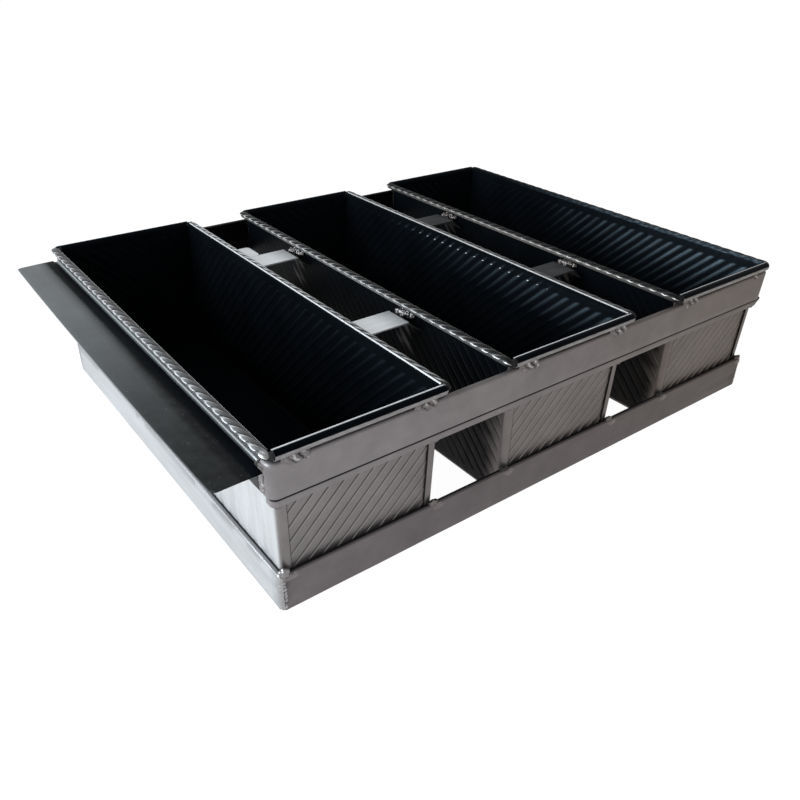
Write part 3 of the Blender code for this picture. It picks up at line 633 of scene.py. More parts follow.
def trough_mesh(shape, left, right):
    """A whole trough: two halves joined along the floor, each with its own shares of finish."""
    mesh = trough_half(shape, -1, left)
    other = trough_half(shape, 1, right)
    half_turned(other)
    join(mesh, other)
    seam = [vert for vert in mesh.verts if abs(vert.co.x) < MERGE]
    bmesh.ops.remove_doubles(mesh, verts=seam, dist=MERGE)
    walls = [face for face in mesh.faces if all(abs(vert.co.x) < MERGE for vert in face.verts)]
    bmesh.ops.delete(mesh, geom=walls, context="FACES")
    bmesh.ops.recalc_face_normals(mesh, faces=mesh.faces[:])
    shape.lean(mesh)
    return mesh


def end_mesh(shape, bright, line_start, line_end):
    """A front end panel with its rolled rim: thin slanted grooves outside, wider ridges inside. The rim has
    a line of scuffed metal and painted highlight, to a share of bright metal, between two angles of its
    roll, in degrees."""
    sizes = shape.sizes
    sheet, pitch, bead, plain = sizes.sheet, sizes.rib_pitch, shape.bead, 0.010
    line_start, line_end, fade = math.radians(line_start), math.radians(line_end), 0.17
    base = shape.floor_z - sizes.sheet / 4
    collar_run, bead_run = shape.collar - base, shape.rim_z - base
    foot_run = shape.rib_base - base
    half_ridge, half_groove = sizes.ridge_width / 2, sizes.groove_width / 2
    rows = spread(0, foot_run, 4) + spread(foot_run, foot_run + half_ridge, 4)[1:]
    rows += spread(foot_run + plain, collar_run - plain, 6) + spread(collar_run - half_ridge, collar_run, 4)
    rows += spread(bead_run, bead_run + bead * sizes.end_roll, 30)
    first = math.floor((-shape.end_half - rows[-1] * shape.slant) / pitch) - 1
    last = math.ceil(shape.end_half / pitch) + 1
    parts = (0, 0.035, 0.07, 0.10, 0.16, 0.25, 0.5, 0.75, 0.84, 0.90, 0.93, 0.965)  # closer at the grooves
    mesh = bmesh.new()
    lay_grid(mesh, [(number + part) * pitch for number in range(first, last) for part in parts], rows)
    for vert in mesh.verts:
        vert.co.x += vert.co.y * shape.slant
    clip_sides(mesh, shape.end_half)
    low, high = (bead_run + bead * math.radians(turned) for turned in (62, 298))
    hood = edges_where(mesh, lambda co: abs(co.x - shape.end_half) < TINY and low < co.y < high)
    start = edges_where(mesh, lambda co: abs(co.x + shape.end_half) < TINY and low < co.y < high)
    pull(mesh, start, (shape.end_half - shape.half_width, 0, 0))
    hood_reach = 0.7 * sizes.hood
    pull(mesh, hood, (shape.half_width + hood_reach - shape.end_half, 0, 0), 9)
    thicken_flat(mesh, sheet)
    coat, dirt_and_painted_shade, polish = stains(mesh)
    for vert in mesh.verts:
        x, run, depth = vert.co
        place = x - run * shape.slant
        coated = depth > -sheet / 2
        vert[coat] = 1.0 if coated else 0.0
        if run <= bead_run + TINY:
            z = base + run
            off = shape.rib_off(place)
            half = half_ridge if coated else half_groove
            ended = max(0.0, shape.rib_base + half - z, z - shape.collar + half,
                        abs(x) - shape.end_half + 0.0015 + half)
            depth += sizes.groove_depth * bump(math.hypot(off, ended), half)
            # Outside, painted shade in each groove and a painted highlight on its flank beside it
            if not coated:
                vert[dirt_and_painted_shade] = smooth_step(0.0, 0.6, bump(math.hypot(off + 0.25 * half, ended), half))
                vert[polish] = 0.13 * bump(math.hypot(off - 1.2 * half, ended), 0.7 * half)
            low_corner = sizes.floor_bend - run
            if low_corner > 0:
                inset = sizes.floor_bend - math.sqrt(sizes.floor_bend ** 2 - low_corner ** 2)
                x = math.copysign(min(abs(x), shape.end_half - inset), x)
            vert.co = (x, depth - shape.half_length, z)
        else:
            turned = (run - bead_run) / bead
            # Line of scuffed metal under a painted highlight along the rim
            line = (smooth_step(line_start, line_start + fade, turned)
                    * (1 - smooth_step(line_end - fade, line_end, turned)))
            lower = smooth_step(math.radians(158), math.radians(170), turned)
            if coated:
                vert[coat] = 1 - max(line, lower)
                mottle = 0.6 + noise.noise(Vector((220 * x, 40 * turned, bright)))
                vert[polish] = max(bright * line, 0.22 * mottle * lower)
            elif x < 0.0001 - shape.end_half:
                vert[dirt_and_painted_shade] = 1.0
            across, up = roll_point(bead + depth, turned, x - shape.half_width, hood_reach)
            vert.co = (x, across - shape.half_length - bead, up + shape.rim_z)
    bmesh.ops.recalc_face_normals(mesh, faces=mesh.faces[:])
    shape.lean(mesh)
    return mesh


def wire_mesh(shape):
    """The rim wire: a closed loop through a pan's four rolled rims."""
    mesh = bmesh.new()
    bend = 0.003
    side, end = shape.half_width + shape.bead, shape.half_length + shape.bead
    ring = bmesh.ops.create_circle(mesh, segments=20, radius=shape.sizes.wire / 2)["verts"]
    bmesh.ops.rotate(mesh, verts=ring, cent=(0, 0, 0), matrix=Matrix.Rotation(math.pi / 2, 3, "X"))
    bmesh.ops.translate(mesh, verts=ring, vec=(-side, 0, shape.rim_z))
    edges = mesh.edges[:]
    side_run, end_run = Vector((0, bend - end, 0)), Vector((2 * (side - bend), 0, 0))
    corners = ((-1, -1, side_run), (1, -1, end_run), (1, 1, -2 * side_run), (-1, 1, -end_run))
    for corner_x, corner_y, run in corners:
        edges = pull(mesh, edges, run)
        centre = (corner_x * (side - bend), corner_y * (end - bend), shape.rim_z)
        edges = turn(mesh, edges, centre, 6)
    pull(mesh, edges, side_run)
    bmesh.ops.remove_doubles(mesh, verts=mesh.verts[:], dist=MERGE)
    bmesh.ops.recalc_face_normals(mesh, faces=mesh.faces[:])
    shape.lean(mesh)
    dirt_and_painted_shade = stains(mesh)[1]
    for vert in mesh.verts:
        vert[dirt_and_painted_shade] = 0.95 * smooth_step(end - 0.006, end - 0.002, abs(vert.co.y))
    return mesh


class FrameShape:
    """Places on the straps and rails, about the middle pan's centre, from the frame and the sizes."""

    def __init__(self, sizes, pan):
        self.sizes, self.pan = sizes, pan
        self.centre = pan_centre("middle")
        self.pitch = pan_centre("right") - self.centre
        low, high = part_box("upper_right_strap")
        self.side = high.x - self.centre
        self.top, self.lip_bottom, self.strap_half = high.z, low.z, high.y
        self.bottom = self.top - sizes.strap_height
        self.front = pan.lap_y + self.side - self.pitch - pan.half_width
        self.seam_y = self.front - sizes.return_length
        self.wing_x = self.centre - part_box("left_wing_strap")[0].x
        self.wing_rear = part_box("left_wing_strap")[1].y
        self.rail_side = self.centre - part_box("lower_left_rail")[0].x
        self.rail_front = -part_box("lower_front_rail")[0].y
        self.rail_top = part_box("lower_left_rail")[1].z
        self.brace_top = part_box("brace_tab")[1].z

    def strap_section(self):
        """Top fold and face of a strap, as (set in from its face, height)."""
        sizes = self.sizes
        top = self.top + sizes.strap_rise
        path = rounded([(sizes.fold_reach, top), (0, top), (0, self.bottom)], sizes.strap_fold, 7)
        start, face = path[:-1], path[-1]
        return start + [start[-1].lerp(face, part) for part in (0.25, 0.5, 0.75, 1)]

    def lip_section(self):
        """The lip behind a strap, as (set in from the strap's face, height)."""
        inset = self.sizes.lip_set_back
        heights = (self.bottom + 0.003, self.bottom - 0.0019, self.bottom - 0.0027, self.lip_bottom)
        return [(inset, z) for z in heights]


def sweep_band(mesh, frame_shape, section, straight_end):
    """Sweeps a section along the front band's plan, round its corners or straight on past the right one."""
    sizes = frame_shape.sizes
    bend, side, front = sizes.strap_bend, frame_shape.side, frame_shape.front
    edges = polyline(mesh, [(inset - side, -frame_shape.seam_y, z) for inset, z in section])
    edges = pull(mesh, edges, (0, bend - sizes.return_length, 0), 2)
    edges = turn(mesh, edges, (bend - side, bend - front, 0), 8)
    if straight_end:
        pull(mesh, edges, (2 * side - bend + sizes.lip_reach, 0, 0), 60)
        return
    edges = pull(mesh, edges, (2 * (side - bend), 0, 0), 60)
    edges = turn(mesh, edges, (side - bend, bend - front, 0), 8)
    pull(mesh, edges, (0, sizes.return_length - bend, 0), 2)


def unevenness(mesh, amount, scale):
    """Presses slow dents into a sheet, along its normals."""
    mesh.normal_update()
    moves = [(vert, vert.normal * amount * noise.noise(vert.co * scale)) for vert in mesh.verts]
    for vert, move in moves:
        vert.co += move


def soot_on_top(mesh, amount):
    """Darkens what faces up, where the coating was sprayed from."""
    dirt_and_painted_shade = stains(mesh)[1]
    mesh.normal_update()
    for vert in mesh.verts:
        vert[dirt_and_painted_shade] = amount * smooth_step(0.25, 0.75, vert.normal.z)


def finish_sheet(piece, sheet, edge, cut=0):
    """Gives an open sheet its thickness and rounded cut edges, which take the material of a given number."""
    wall = piece.modifiers.new("sheet", "SOLIDIFY")
    wall.thickness = sheet
    wall.offset = -1
    wall.use_even_offset = True
    wall.material_offset = min(1, len(piece.data.materials) - 1)
    wall.material_offset_rim = cut
    round_edges(piece, edge)


def round_edges(piece, edge):
    """Rounds the sharp edges of a piece."""
    bevel = piece.modifiers.new("edges", "BEVEL")
    bevel.width = edge
    bevel.segments = 2
    bevel.limit_method = "ANGLE"
    bevel.angle_limit = math.radians(50)


def lean_out(frame_shape, side, point):
    """How far the set's right side of a strap leans outwards at a point; side is the end of X it lies on."""
    rise = (point.z - frame_shape.bottom) / frame_shape.sizes.strap_height
    near = smooth_step(frame_shape.side - 0.012, frame_shape.side - 0.001, side * point.x)
    return side * frame_shape.sizes.strap_lean * near * max(0.0, min(1.0, rise))


def band_mesh(frame_shape, side):
    """The front band: folded strap round both front corners; side is the end of X at the set's right."""
    mesh = bmesh.new()
    sweep_band(mesh, frame_shape, frame_shape.strap_section(), False)
    face_towards(mesh, (0, -1, 0))
    unevenness(mesh, frame_shape.sizes.dent, 40)
    for vert in mesh.verts:
        right = smooth_step(0.10, 0.19, side * vert.co.x)
        vert.co.x += lean_out(frame_shape, side, vert.co)
        vert.co.z += 0.0008 * right * smooth_step(-0.004, 0.0, vert.co.z - frame_shape.top)
    soot_on_top(mesh, 0.35)
    return mesh


def lip_mesh(frame_shape):
    """The lip behind the front band's lower edge, under painted shadow along the band and cut to a wedge
    past the corner.
    """
    mesh = bmesh.new()
    sweep_band(mesh, frame_shape, frame_shape.lip_section(), True)
    face_towards(mesh, (0, -1, 0))
    dirt_and_painted_shade = stains(mesh)[1]
    # Painted shadow cast by the band's lower edge on the top of the lip
    lit_below = frame_shape.bottom - 0.0022
    for vert in mesh.verts:
        vert[dirt_and_painted_shade] = 1.0 if vert.co.z > lit_below else 0.0
        if vert.co.x > frame_shape.side:
            vert.co.z = min(vert.co.z, frame_shape.bottom - 0.0004)
            vert.co.x -= 1.3 * max(0.0, lit_below - vert.co.z)
    return mesh


def right_strap_mesh(frame_shape):
    """The upper right strap between the two bands."""
    mesh = bmesh.new()
    half = frame_shape.strap_half
    for section in (frame_shape.strap_section(), frame_shape.lip_section()):
        edges = polyline(mesh, [(frame_shape.side - inset, -half, z) for inset, z in section])
        pull(mesh, edges, (0, 2 * half, 0), 40)
    face_towards(mesh, (1, 0, 0))
    unevenness(mesh, frame_shape.sizes.dent, 40)
    for vert in mesh.verts:
        vert.co.x += lean_out(frame_shape, 1, vert.co)
    soot_on_top(mesh, 0.35)
    return mesh


def wing_mesh(frame_shape):
    """The left strap: an upright flange, a bead along the fold and the flat wing."""
    sizes = frame_shape.sizes
    mesh = bmesh.new()
    side, top, half = frame_shape.side, frame_shape.top, frame_shape.strap_half
    inner = sizes.strap_sheet - side
    crest = top + sizes.wing_ridge
    section = rounded([(inner, frame_shape.bottom), (inner, crest), (inner - 0.0018, crest),
                       (inner - 0.0026, top), (inner - 0.0045, top)], 0.0004, 3)
    notch = section[-1].x
    section += [Vector((notch + (-frame_shape.wing_x - notch) * part / 8, top)) for part in range(1, 9)]
    edges = polyline(mesh, [(x, -half, z) for x, z in section])
    pull(mesh, edges, (0, 2 * half, 0), 48)
    for end, reach in ((-1, frame_shape.front - half), (1, frame_shape.wing_rear - half)):
        wing_end = edges_where(mesh, lambda co: abs(co.y - end * half) < TINY and co.x < notch + TINY)
        pull(mesh, wing_end, (0, end * reach, 0), 2)
    tips = [vert for vert in mesh.verts if abs(vert.co.x + frame_shape.wing_x) < TINY
            and (vert.co.y < TINY - frame_shape.front or vert.co.y > frame_shape.wing_rear - TINY)]
    bmesh.ops.bevel(mesh, geom=tips, offset=sizes.wing_corner, segments=5, profile=0.5,
                    affect="VERTICES", material=-1)
    face_towards(mesh, (1, 0, 1))
    coat, dirt_and_painted_shade, polish = stains(mesh)
    for vert in mesh.verts:
        out = max(0.0, notch - vert.co.x) / (notch + frame_shape.wing_x)
        along = (vert.co.y + frame_shape.front) / (2 * frame_shape.front)
        if vert.co.x < notch + TINY:
            # Beside the fold, coating and overspray under painted shadow from the rim; thinner overspray
            # towards the rear
            beside = 1 - smooth_step(0.0, 0.5, out)
            vert[dirt_and_painted_shade] = min(1.0, 0.95 - 0.62 * smooth_step(0.0, 0.8, along) + 0.75 * beside)
            vert[coat] = 1 - smooth_step(0.0, 0.45, out)
            vert.co.x += out * sizes.wing_bow * (vert.co.y / frame_shape.front) ** 2
            vert.co.z -= 0.0006 * out ** 2
        # Painted highlight along the bead of the fold
        elif vert.co.z > top + 0.6 * sizes.wing_ridge:
            vert[polish] = 0.35
    unevenness(mesh, sizes.dent, 30)
    for vert in mesh.verts:
        vert.co.x = max(vert.co.x, -frame_shape.wing_x)
    return mesh


def rail_mesh(frame_shape, half_length, face, shine):
    """A lower rail along X with its face to the front: a folded channel with open mitred corners, scorched
    at its ends, with painted shade in the slot along its top fold, and a share of painted light."""
    sizes = frame_shape.sizes
    mesh = bmesh.new()
    top, lip = frame_shape.rail_top, sizes.rail_lip
    path = rounded([(lip, top), (0, top), (0, 0), (lip, 0)], sizes.fold, 6)
    middle = len(path) // 2
    rows = [path[middle - 1].lerp(path[middle], part) for part in (0.25, 0.5, 0.75)]
    section = path[:middle] + rows + path[middle:]
    edges = polyline(mesh, [(-half_length, inset - face, z) for inset, z in section])
    pull(mesh, edges, (2 * half_length, 0, 0), 60)
    corner = sizes.rail_corner
    for vert in mesh.verts:
        inset = max(vert.co.y + face, sizes.rail_notch)
        drop = min(corner, max(0.0, corner - vert.co.z))
        inset += corner - math.sqrt(corner ** 2 - drop ** 2)
        limit = half_length - inset
        vert.co.x = max(-limit, min(limit, vert.co.x))
    bmesh.ops.remove_doubles(mesh, verts=mesh.verts[:], dist=MERGE)
    face_towards(mesh, (0, -1, 0))
    unevenness(mesh, sizes.dent, 30)
    # Overspray on what faces up, kept off where the rail has painted light
    soot_on_top(mesh, 0.45 - 0.8 * shine)
    _, dirt_and_painted_shade, polish = stains(mesh)
    # Painted shade in the slot between the top fold and the wall begins this far in
    dark_from = 0.0020 if shine else 0.0008  # set in from the face, on the top fold
    for vert in mesh.verts:
        scorch = smooth_step(0.010, 0.002, half_length - abs(vert.co.x))
        # Painted light, a little less towards one end
        vert[polish] = shine * (1 - 0.14 * smooth_step(0.55, 0.95, -vert.co.x / half_length))
        vert[dirt_and_painted_shade] = max(vert[dirt_and_painted_shade], scorch * (0.35 + 0.5 * noise.noise(vert.co * 240)))
        # On the top fold, half the painted light, and painted shade in the slot
        if vert.co.z > top - sizes.fold:
            vert[polish] *= 0.5
            vert[dirt_and_painted_shade] = max(vert[dirt_and_painted_shade], smooth_step(dark_from, dark_from + 0.0010, vert.co.y + face))
    return mesh


def brace_mesh(low, high, soot, shine):
    """A brace between two corners with its shares of darkening and bright metal: a flat plate with rounded
    edges, darker towards its right end, which is bent down under painted shade, with painted highlights
    along its top edge and on the bend."""
    mesh = bmesh.new()
    made = bmesh.ops.create_cube(mesh, size=1.0)["verts"]
    bmesh.ops.scale(mesh, verts=made, vec=high - low)
    bmesh.ops.translate(mesh, verts=made, vec=(low + high) / 2)
    bmesh.ops.bevel(mesh, geom=mesh.edges[:], offset=BRACE_EDGE, segments=3, profile=0.5, affect="EDGES",
                    material=-1)
    long_edges = [edge for edge in mesh.edges if abs(edge.verts[0].co.x - edge.verts[1].co.x) > 0.02]
    bmesh.ops.subdivide_edges(mesh, edges=long_edges, cuts=90, use_grid_fill=True)
    _, dirt_and_painted_shade, polish = stains(mesh)
    for vert in mesh.verts:
        bent = max(0.0, vert.co.x - high.x + BRACE_BENT_END)
        # Darker towards the right end, and painted shade on the bent-down end
        near_end = smooth_step(-0.030, -0.009, vert.co.x - high.x)
        vert[dirt_and_painted_shade] = max(soot, 0.45 * near_end, 0.96 * smooth_step(0.0002, 0.0012, bent))
        # Painted highlights along the top edge and on the bend
        corner = high.z - BRACE_EDGE + TINY < vert.co.z < high.z - TINY
        bend_highlight = bump(abs(bent - 0.0002), 0.0006) if bent else 0.0
        vert[polish] = max(shine, 0.95 * (1 - soot) * max(corner, bend_highlight))
        vert.co.z -= 0.75 * bent * smooth_step(0.0, 0.003, bent)
    return mesh


def tab_mesh(low, high):
    """The tab beside a brace: a flat plate with rounded corners, between two corners of its box."""
    mesh = bmesh.new()
    lay_grid(mesh, (low.x, high.x), (low.y, high.y))
    bmesh.ops.bevel(mesh, geom=mesh.verts[:], offset=TAB_CORNER, segments=5, profile=0.5,
                    affect="VERTICES", material=-1)
    bmesh.ops.translate(mesh, verts=mesh.verts[:], vec=(0, 0, high.z))
    face_towards(mesh, (0, 0, 1))
    polish = stains(mesh)[2]
    for vert in mesh.verts:
        vert[polish] = TAB_SHINE
    return mesh


def ripple_weld(mesh, centre, size, lobes, seed):
    """A weld bead along X of overlapping curled lobes; size is (length, height, depth)."""
    dirt_and_painted_shade, polish = stains(mesh)[1:]
    made = bmesh.ops.create_uvsphere(mesh, u_segments=40, v_segments=64, radius=1)["verts"]
    for vert in made:
        x, y, z = vert.co
        rough = noise.noise(vert.co * 2.3 + Vector((seed, 0, 0.3 * seed)))
        phase = lobes * (0.5 + 0.5 * z) + 0.30 * math.sin(2.4 * x) + 0.25 * rough
        lobe = abs(math.sin(math.pi * phase))
        lead = smooth_step(-0.9, -0.2, z)
        full = (1 - z ** 6) ** 0.5 / max(0.05, (1 - z ** 2) ** 0.5)
        # Painted shade round its rim and in the hollows between lobes, painted highlights on the lobes'
        # crests
        rim = smooth_step(0.72, 0.98, abs(x * full))
        crest = smooth_step(0.86, 0.99, lobe) * smooth_step(-0.15, 0.25, rough + 0.3 * x)
        vert[dirt_and_painted_shade] = max(0.85 * rim, lead * 0.9 * (1 - smooth_step(0.05, 0.45, lobe)))
        vert[polish] = 0.5 * lead * crest * (1 - rim)
        swell = 0.30 + 0.70 * lobe ** 0.7 * lead + 0.25 * rough
        vert.co = Vector(centre) + Vector((z * size[0] / 2, -y * full * swell * size[2],
                                           x * full * size[1] / 2 * (0.85 + 0.15 * lobe + 0.2 * rough)))


def weld_lump(mesh, centre, size, roughness, seed, outwards=(0, -1, 0), shine=0.0, dark=0.85):
    """A rough lump of weld metal, under painted shade where it turns away from its outward side, with a
    share of bright metal and painted light.
    """
    dirt_and_painted_shade, polish = stains(mesh)[1:]
    made = bmesh.ops.create_icosphere(mesh, subdivisions=4, radius=0.5)["verts"]
    outwards = Vector(outwards).normalized()
    for vert in made:
        wobble = noise.noise(vert.co * 3.1 + Vector((seed, 0.7 * seed, 0))) * roughness
        wobble += noise.noise(vert.co * 8.3 + Vector((0, seed, seed))) * roughness * 0.45
        # Painted shade on the side turned away from its outward direction
        shown = 2 * vert.co.dot(outwards) + wobble
        vert[dirt_and_painted_shade] = dark * (1 - smooth_step(0.1, 0.55, shown))
        vert[polish] = shine
        vert.co = Vector(centre) + Vector(a * b for a, b in zip(vert.co * (1 + wobble), size))


def lap_middles(frame_shape):
    """Middles along X of the corner strips at one end of the set."""
    pan = frame_shape.pan
    middle = pan.half_width + pan.sizes.sheet - pan.sizes.lap / 2
    return [number * frame_shape.pitch + side * middle for number in (-1, 0, 1) for side in (-1, 1)]


def band_weld_mesh(frame_shape, end):
    """Weld metal of the front band: rippled beads under the rims, curls under the lip, the two seams. end is
    the end of X at the set's right, where the rim weld is small and the seam leans out."""
    mesh = bmesh.new()
    stains(mesh)
    pan, front = frame_shape.pan, frame_shape.front
    for number in (-1, 0, 1):
        for side in (-1, 1):
            x = number * frame_shape.pitch + side * (pan.half_width - RIM_WELD_INSET)
            size, lobes = (SMALL_RIM_WELD, 1) if number == side == end else (RIM_WELD, 3)
            ripple_weld(mesh, (x, 0.0006 - front, frame_shape.top + 0.0008), size, lobes, 3 * number + side)
    for number, x in enumerate(lap_middles(frame_shape)):
        y = 0.0004 - (pan.lap_y + pan.sizes.sheet)
        weld_lump(mesh, (x, y, frame_shape.lip_bottom - 0.0006), LIP_WELD, 0.25, number)
    for side in (-1, 1):
        for step in range(WELDS_UP_A_SEAM):
            centre = Vector((side * (frame_shape.side - 0.0003), -frame_shape.seam_y - 0.0004 * (step % 3),
                             frame_shape.bottom + 0.0022 + SEAM_WELD_STEP * step))
            if side == end:
                centre.x += lean_out(frame_shape, side, centre)
            weld_lump(mesh, centre, SEAM_WELD, 0.30, step + 20 * side, (side, 0, 0), 0.06, 0.35)
    return mesh


def rail_weld_mesh(frame_shape, end):
    """Weld metal of the front rail: blobs and smears at the corner strips, and both open corners. The blob
    is large at the first strip and dark at every other one after it. end is the end of X at the set's right;
    weld metal has painted light at the other one, which faces the key lamp."""
    mesh = bmesh.new()
    stains(mesh)
    front, top = frame_shape.rail_front, frame_shape.rail_top
    strips = lap_middles(frame_shape)
    for number, x in enumerate(strips):
        foot = (x, 0.0014 - front, top + 0.0004)
        if number == 0:
            weld_lump(mesh, (x - 0.0004, 0.0012 - front, top + 0.0010), CORNER_FOOT_WELD, 0.22, 4,
                      (-0.3, -0.8, 0.6), 0.10, 0.7)
        elif number % 2:
            weld_lump(mesh, foot, FOOT_WELD, 0.35, number)
        else:
            weld_lump(mesh, foot, DARK_FOOT_WELD, 0.35, number, (0, 1, 0))
        last = number == len(strips) - 1
        smear = (x - 0.0010 if last else x + 0.0030, 0.0002 - front, top - 0.0026)
        # Painted light on the last smear of the rear rail, at the set's left end
        weld_lump(mesh, smear, FOOT_SMEAR, 0.35, number + 7, shine=0.4 if last and end < 0 else 0.0)
    for side in (-1, 1):
        # Painted light on the welds at the corner that faces the key lamp
        shine = 0.26 if side == -end else 0.06
        x = side * (frame_shape.rail_side - 0.0030)
        for step in range(WELDS_UP_A_SEAM):
            weld_lump(mesh, (x, 0.0030 - front, 0.0034 + RAIL_WELD_STEP * step), RAIL_WELD, 0.10,
                      step + 31 * side, (side, -1, 0), shine, 0.3)
    return mesh


def brace_weld_mesh(frame_shape, low, high, shine):
    """The rough cluster that joins a brace to the rim on its right."""
    mesh = bmesh.new()
    stains(mesh)
    middle = (low.y + high.y) / 2
    blobs = ((-0.0030, 0.0050, 0.0056), (-0.0016, 0.0010, 0.0050), (-0.0006, -0.0024, 0.0038),
             (-0.0040, 0.0086, 0.0044), (-0.0006, 0.0080, 0.0044))  # place along X and Y, and size
    for number, (x, y, size) in enumerate(blobs):
        weld_lump(mesh, (high.x + x, middle + y, frame_shape.brace_top - 0.0014),
                  (size, size * 1.15, size), 0.40, number + 50 * low.y, (-0.6, -0.6, 1), shine)
    return mesh


class Nodes:
    """Short ways to put nodes into a material."""

    def __init__(self, name):
        self.material = bpy.data.materials.new(name)
        self.material.use_nodes = True
        self.tree = self.material.node_tree
        self.shader = self.tree.nodes["Principled BSDF"]
        self.coords = self.tree.nodes.new("ShaderNodeTexCoord").outputs["Object"]

    def put(self, socket, value):
        """Links an output to a socket, or sets the socket's own value."""
        if isinstance(value, bpy.types.NodeSocket):
            self.tree.links.new(value, socket)
        else:
            socket.default_value = value

    def math(self, operation, first, second, clamp=False):
        """Two values put together by a sum of any kind."""
        node = self.tree.nodes.new("ShaderNodeMath")
        node.operation = operation
        node.use_clamp = clamp
        self.put(node.inputs[0], first)
        self.put(node.inputs[1], second)
        return node.outputs[0]

    def span(self, value, low, high, to_low=0.0, to_high=1.0):
        """A value carried from one range to another, and held inside it."""
        node = self.tree.nodes.new("ShaderNodeMapRange")
        for socket, number in zip(node.inputs, (value, low, high, to_low, to_high)):
            self.put(socket, number)
        return node.outputs[0]

    def blend(self, factor, first, second, kind="RGBA", way="MIX"):
        """A mix of two colours or values."""
        node = self.tree.nodes.new("ShaderNodeMix")
        node.data_type = kind
        node.blend_type = way
        first_socket, second_socket = {"RGBA": (6, 7), "FLOAT": (2, 3)}[kind]
        self.put(node.inputs[0], factor)
        self.put(node.inputs[first_socket], first)
        self.put(node.inputs[second_socket], second)
        return node.outputs[{"RGBA": 2, "FLOAT": 0}[kind]]

    def stain(self, name):
        """One of the mesh's stain layers."""
        node = self.tree.nodes.new("ShaderNodeAttribute")
        node.attribute_name = name
        return node.outputs["Fac"]

    def cloud(self, scale, detail, stretch=(1, 1, 1)):
        """Noise on the object's coordinates, stretched along an axis for streaks."""
        mapping = self.tree.nodes.new("ShaderNodeMapping")
        mapping.inputs["Scale"].default_value = stretch
        self.put(mapping.inputs["Vector"], self.coords)
        node = self.tree.nodes.new("ShaderNodeTexNoise")
        node.inputs["Scale"].default_value = scale
        node.inputs["Detail"].default_value = detail
        node.inputs["Roughness"].default_value = 0.55
        self.put(node.inputs["Vector"], mapping.outputs["Vector"])
        return node.outputs["Fac"]

    def axis(self, name):
        """One of the object's coordinates."""
        node = self.tree.nodes.new("ShaderNodeSeparateXYZ")
        self.put(node.inputs[0], self.coords)
        return node.outputs[name]

    def shaded(self, metal, painted_right_shade):
        """A metal's colour under painted shade, turning darker and warmer towards the right end."""
        shade = self.blend(self.span(self.axis("X"), -0.20, 0.23), (1, 1, 1, 1), flat(painted_right_shade))
        return self.blend(1.0, flat(metal), shade, way="MULTIPLY")

    def relief(self, height, strength, depth, below=None):
        """A fine relief on the surface."""
        node = self.tree.nodes.new("ShaderNodeBump")
        node.inputs["Strength"].default_value = strength
        node.inputs["Distance"].default_value = depth
        self.put(node.inputs["Height"], height)
        if below:
            self.put(node.inputs["Normal"], below)
        return node.outputs["Normal"]


def flat(rgb):
    """A colour setting as a socket value."""
    return (*rgb, 1.0)


def sheet_finish(name, metal, finishes, streaks, painted_right_shade):
    """Sheet metal with streaks, smudges and specks, darker and warmer to the right as painted shade, under
    overspray and painted shade, bright metal and painted highlight, and coating where the stain layers say
    so.
    """
    nodes = Nodes(name)
    speck = nodes.cloud(1500, 2)
    smudge = nodes.cloud(28, 4)
    blotch = nodes.cloud(110, 4)
    streak = nodes.cloud(260, 3, streaks)
    tone = nodes.math("ADD", nodes.span(smudge, 0.3, 0.7, 0.88, 1.072),
                      nodes.span(streak, 0.3, 0.7, -0.04, 0.04))
    tone = nodes.math("ADD", tone, nodes.span(blotch, 0.35, 0.65, -0.04, 0.04))
    bare = nodes.blend(1.0, nodes.shaded(metal, painted_right_shade), tone, way="MULTIPLY")
    dark_speck = nodes.span(speck, 0.66, 0.72)
    bare = nodes.blend(nodes.math("MULTIPLY", dark_speck, 0.4), bare, flat(finishes.soot))
    polish = nodes.math("MULTIPLY", nodes.stain("polish"), nodes.span(streak, 0.3, 0.7, 0.78, 1.0))
    bare = nodes.blend(polish, bare, flat(finishes.bright_metal_and_highlight))
    soot = nodes.math("MULTIPLY", nodes.stain("soot"), nodes.span(blotch, 0.3, 0.7, 0.96, 1.04), True)
    bare = nodes.blend(nodes.math("MULTIPLY", soot, 0.985), bare, flat(finishes.soot))
    if name == "wing sheet":
        fleck = nodes.span(nodes.cloud(800, 1), 0.74, 0.80, 0.0, 0.30)
        bare = nodes.blend(fleck, bare, flat(finishes.bright_metal_and_highlight))
    edge = nodes.math("ADD", nodes.stain("coat"), nodes.span(speck, 0.2, 0.8, -0.15, 0.15))
    coat = nodes.span(edge, 0.38, 0.62)
    coating = nodes.blend(nodes.span(smudge, 0.35, 0.7, 0.0, 0.5), flat(finishes.coating),
                          flat([2.2 * part for part in finishes.coating]))
    # Painted highlight on the coating where the stain layer says so
    coating = nodes.blend(polish, coating, flat(finishes.rib_highlight_colour))
    nodes.put(nodes.shader.inputs["Base Color"], nodes.blend(coat, bare, coating))
    metallic = nodes.math("MULTIPLY", nodes.math("SUBTRACT", 1.0, coat),
                          nodes.span(soot, 0.0, 1.0, 0.78, 0.35))
    nodes.put(nodes.shader.inputs["Metallic"], metallic)
    metal_rough = nodes.math("ADD", nodes.span(streak, 0.3, 0.7, 0.35, 0.47),
                             nodes.span(soot, 0, 1, 0.0, 0.15))
    coat_rough = nodes.span(blotch, 0.3, 0.7, 0.34, 0.46)
    nodes.put(nodes.shader.inputs["Roughness"], nodes.blend(coat, metal_rough, coat_rough, "FLOAT"))
    nodes.shader.inputs["Specular IOR Level"].default_value = 0.018
    nodes.put(nodes.shader.inputs["Specular Tint"], nodes.blend(coat, (1, 1, 1, 1), (0.24, 0.30, 0.36, 1)))
    fine = nodes.relief(nodes.cloud(900, 3), 0.25, 0.00012)
    nodes.put(nodes.shader.inputs["Normal"], nodes.relief(streak, 0.12, 0.0002, fine))
    return nodes.material


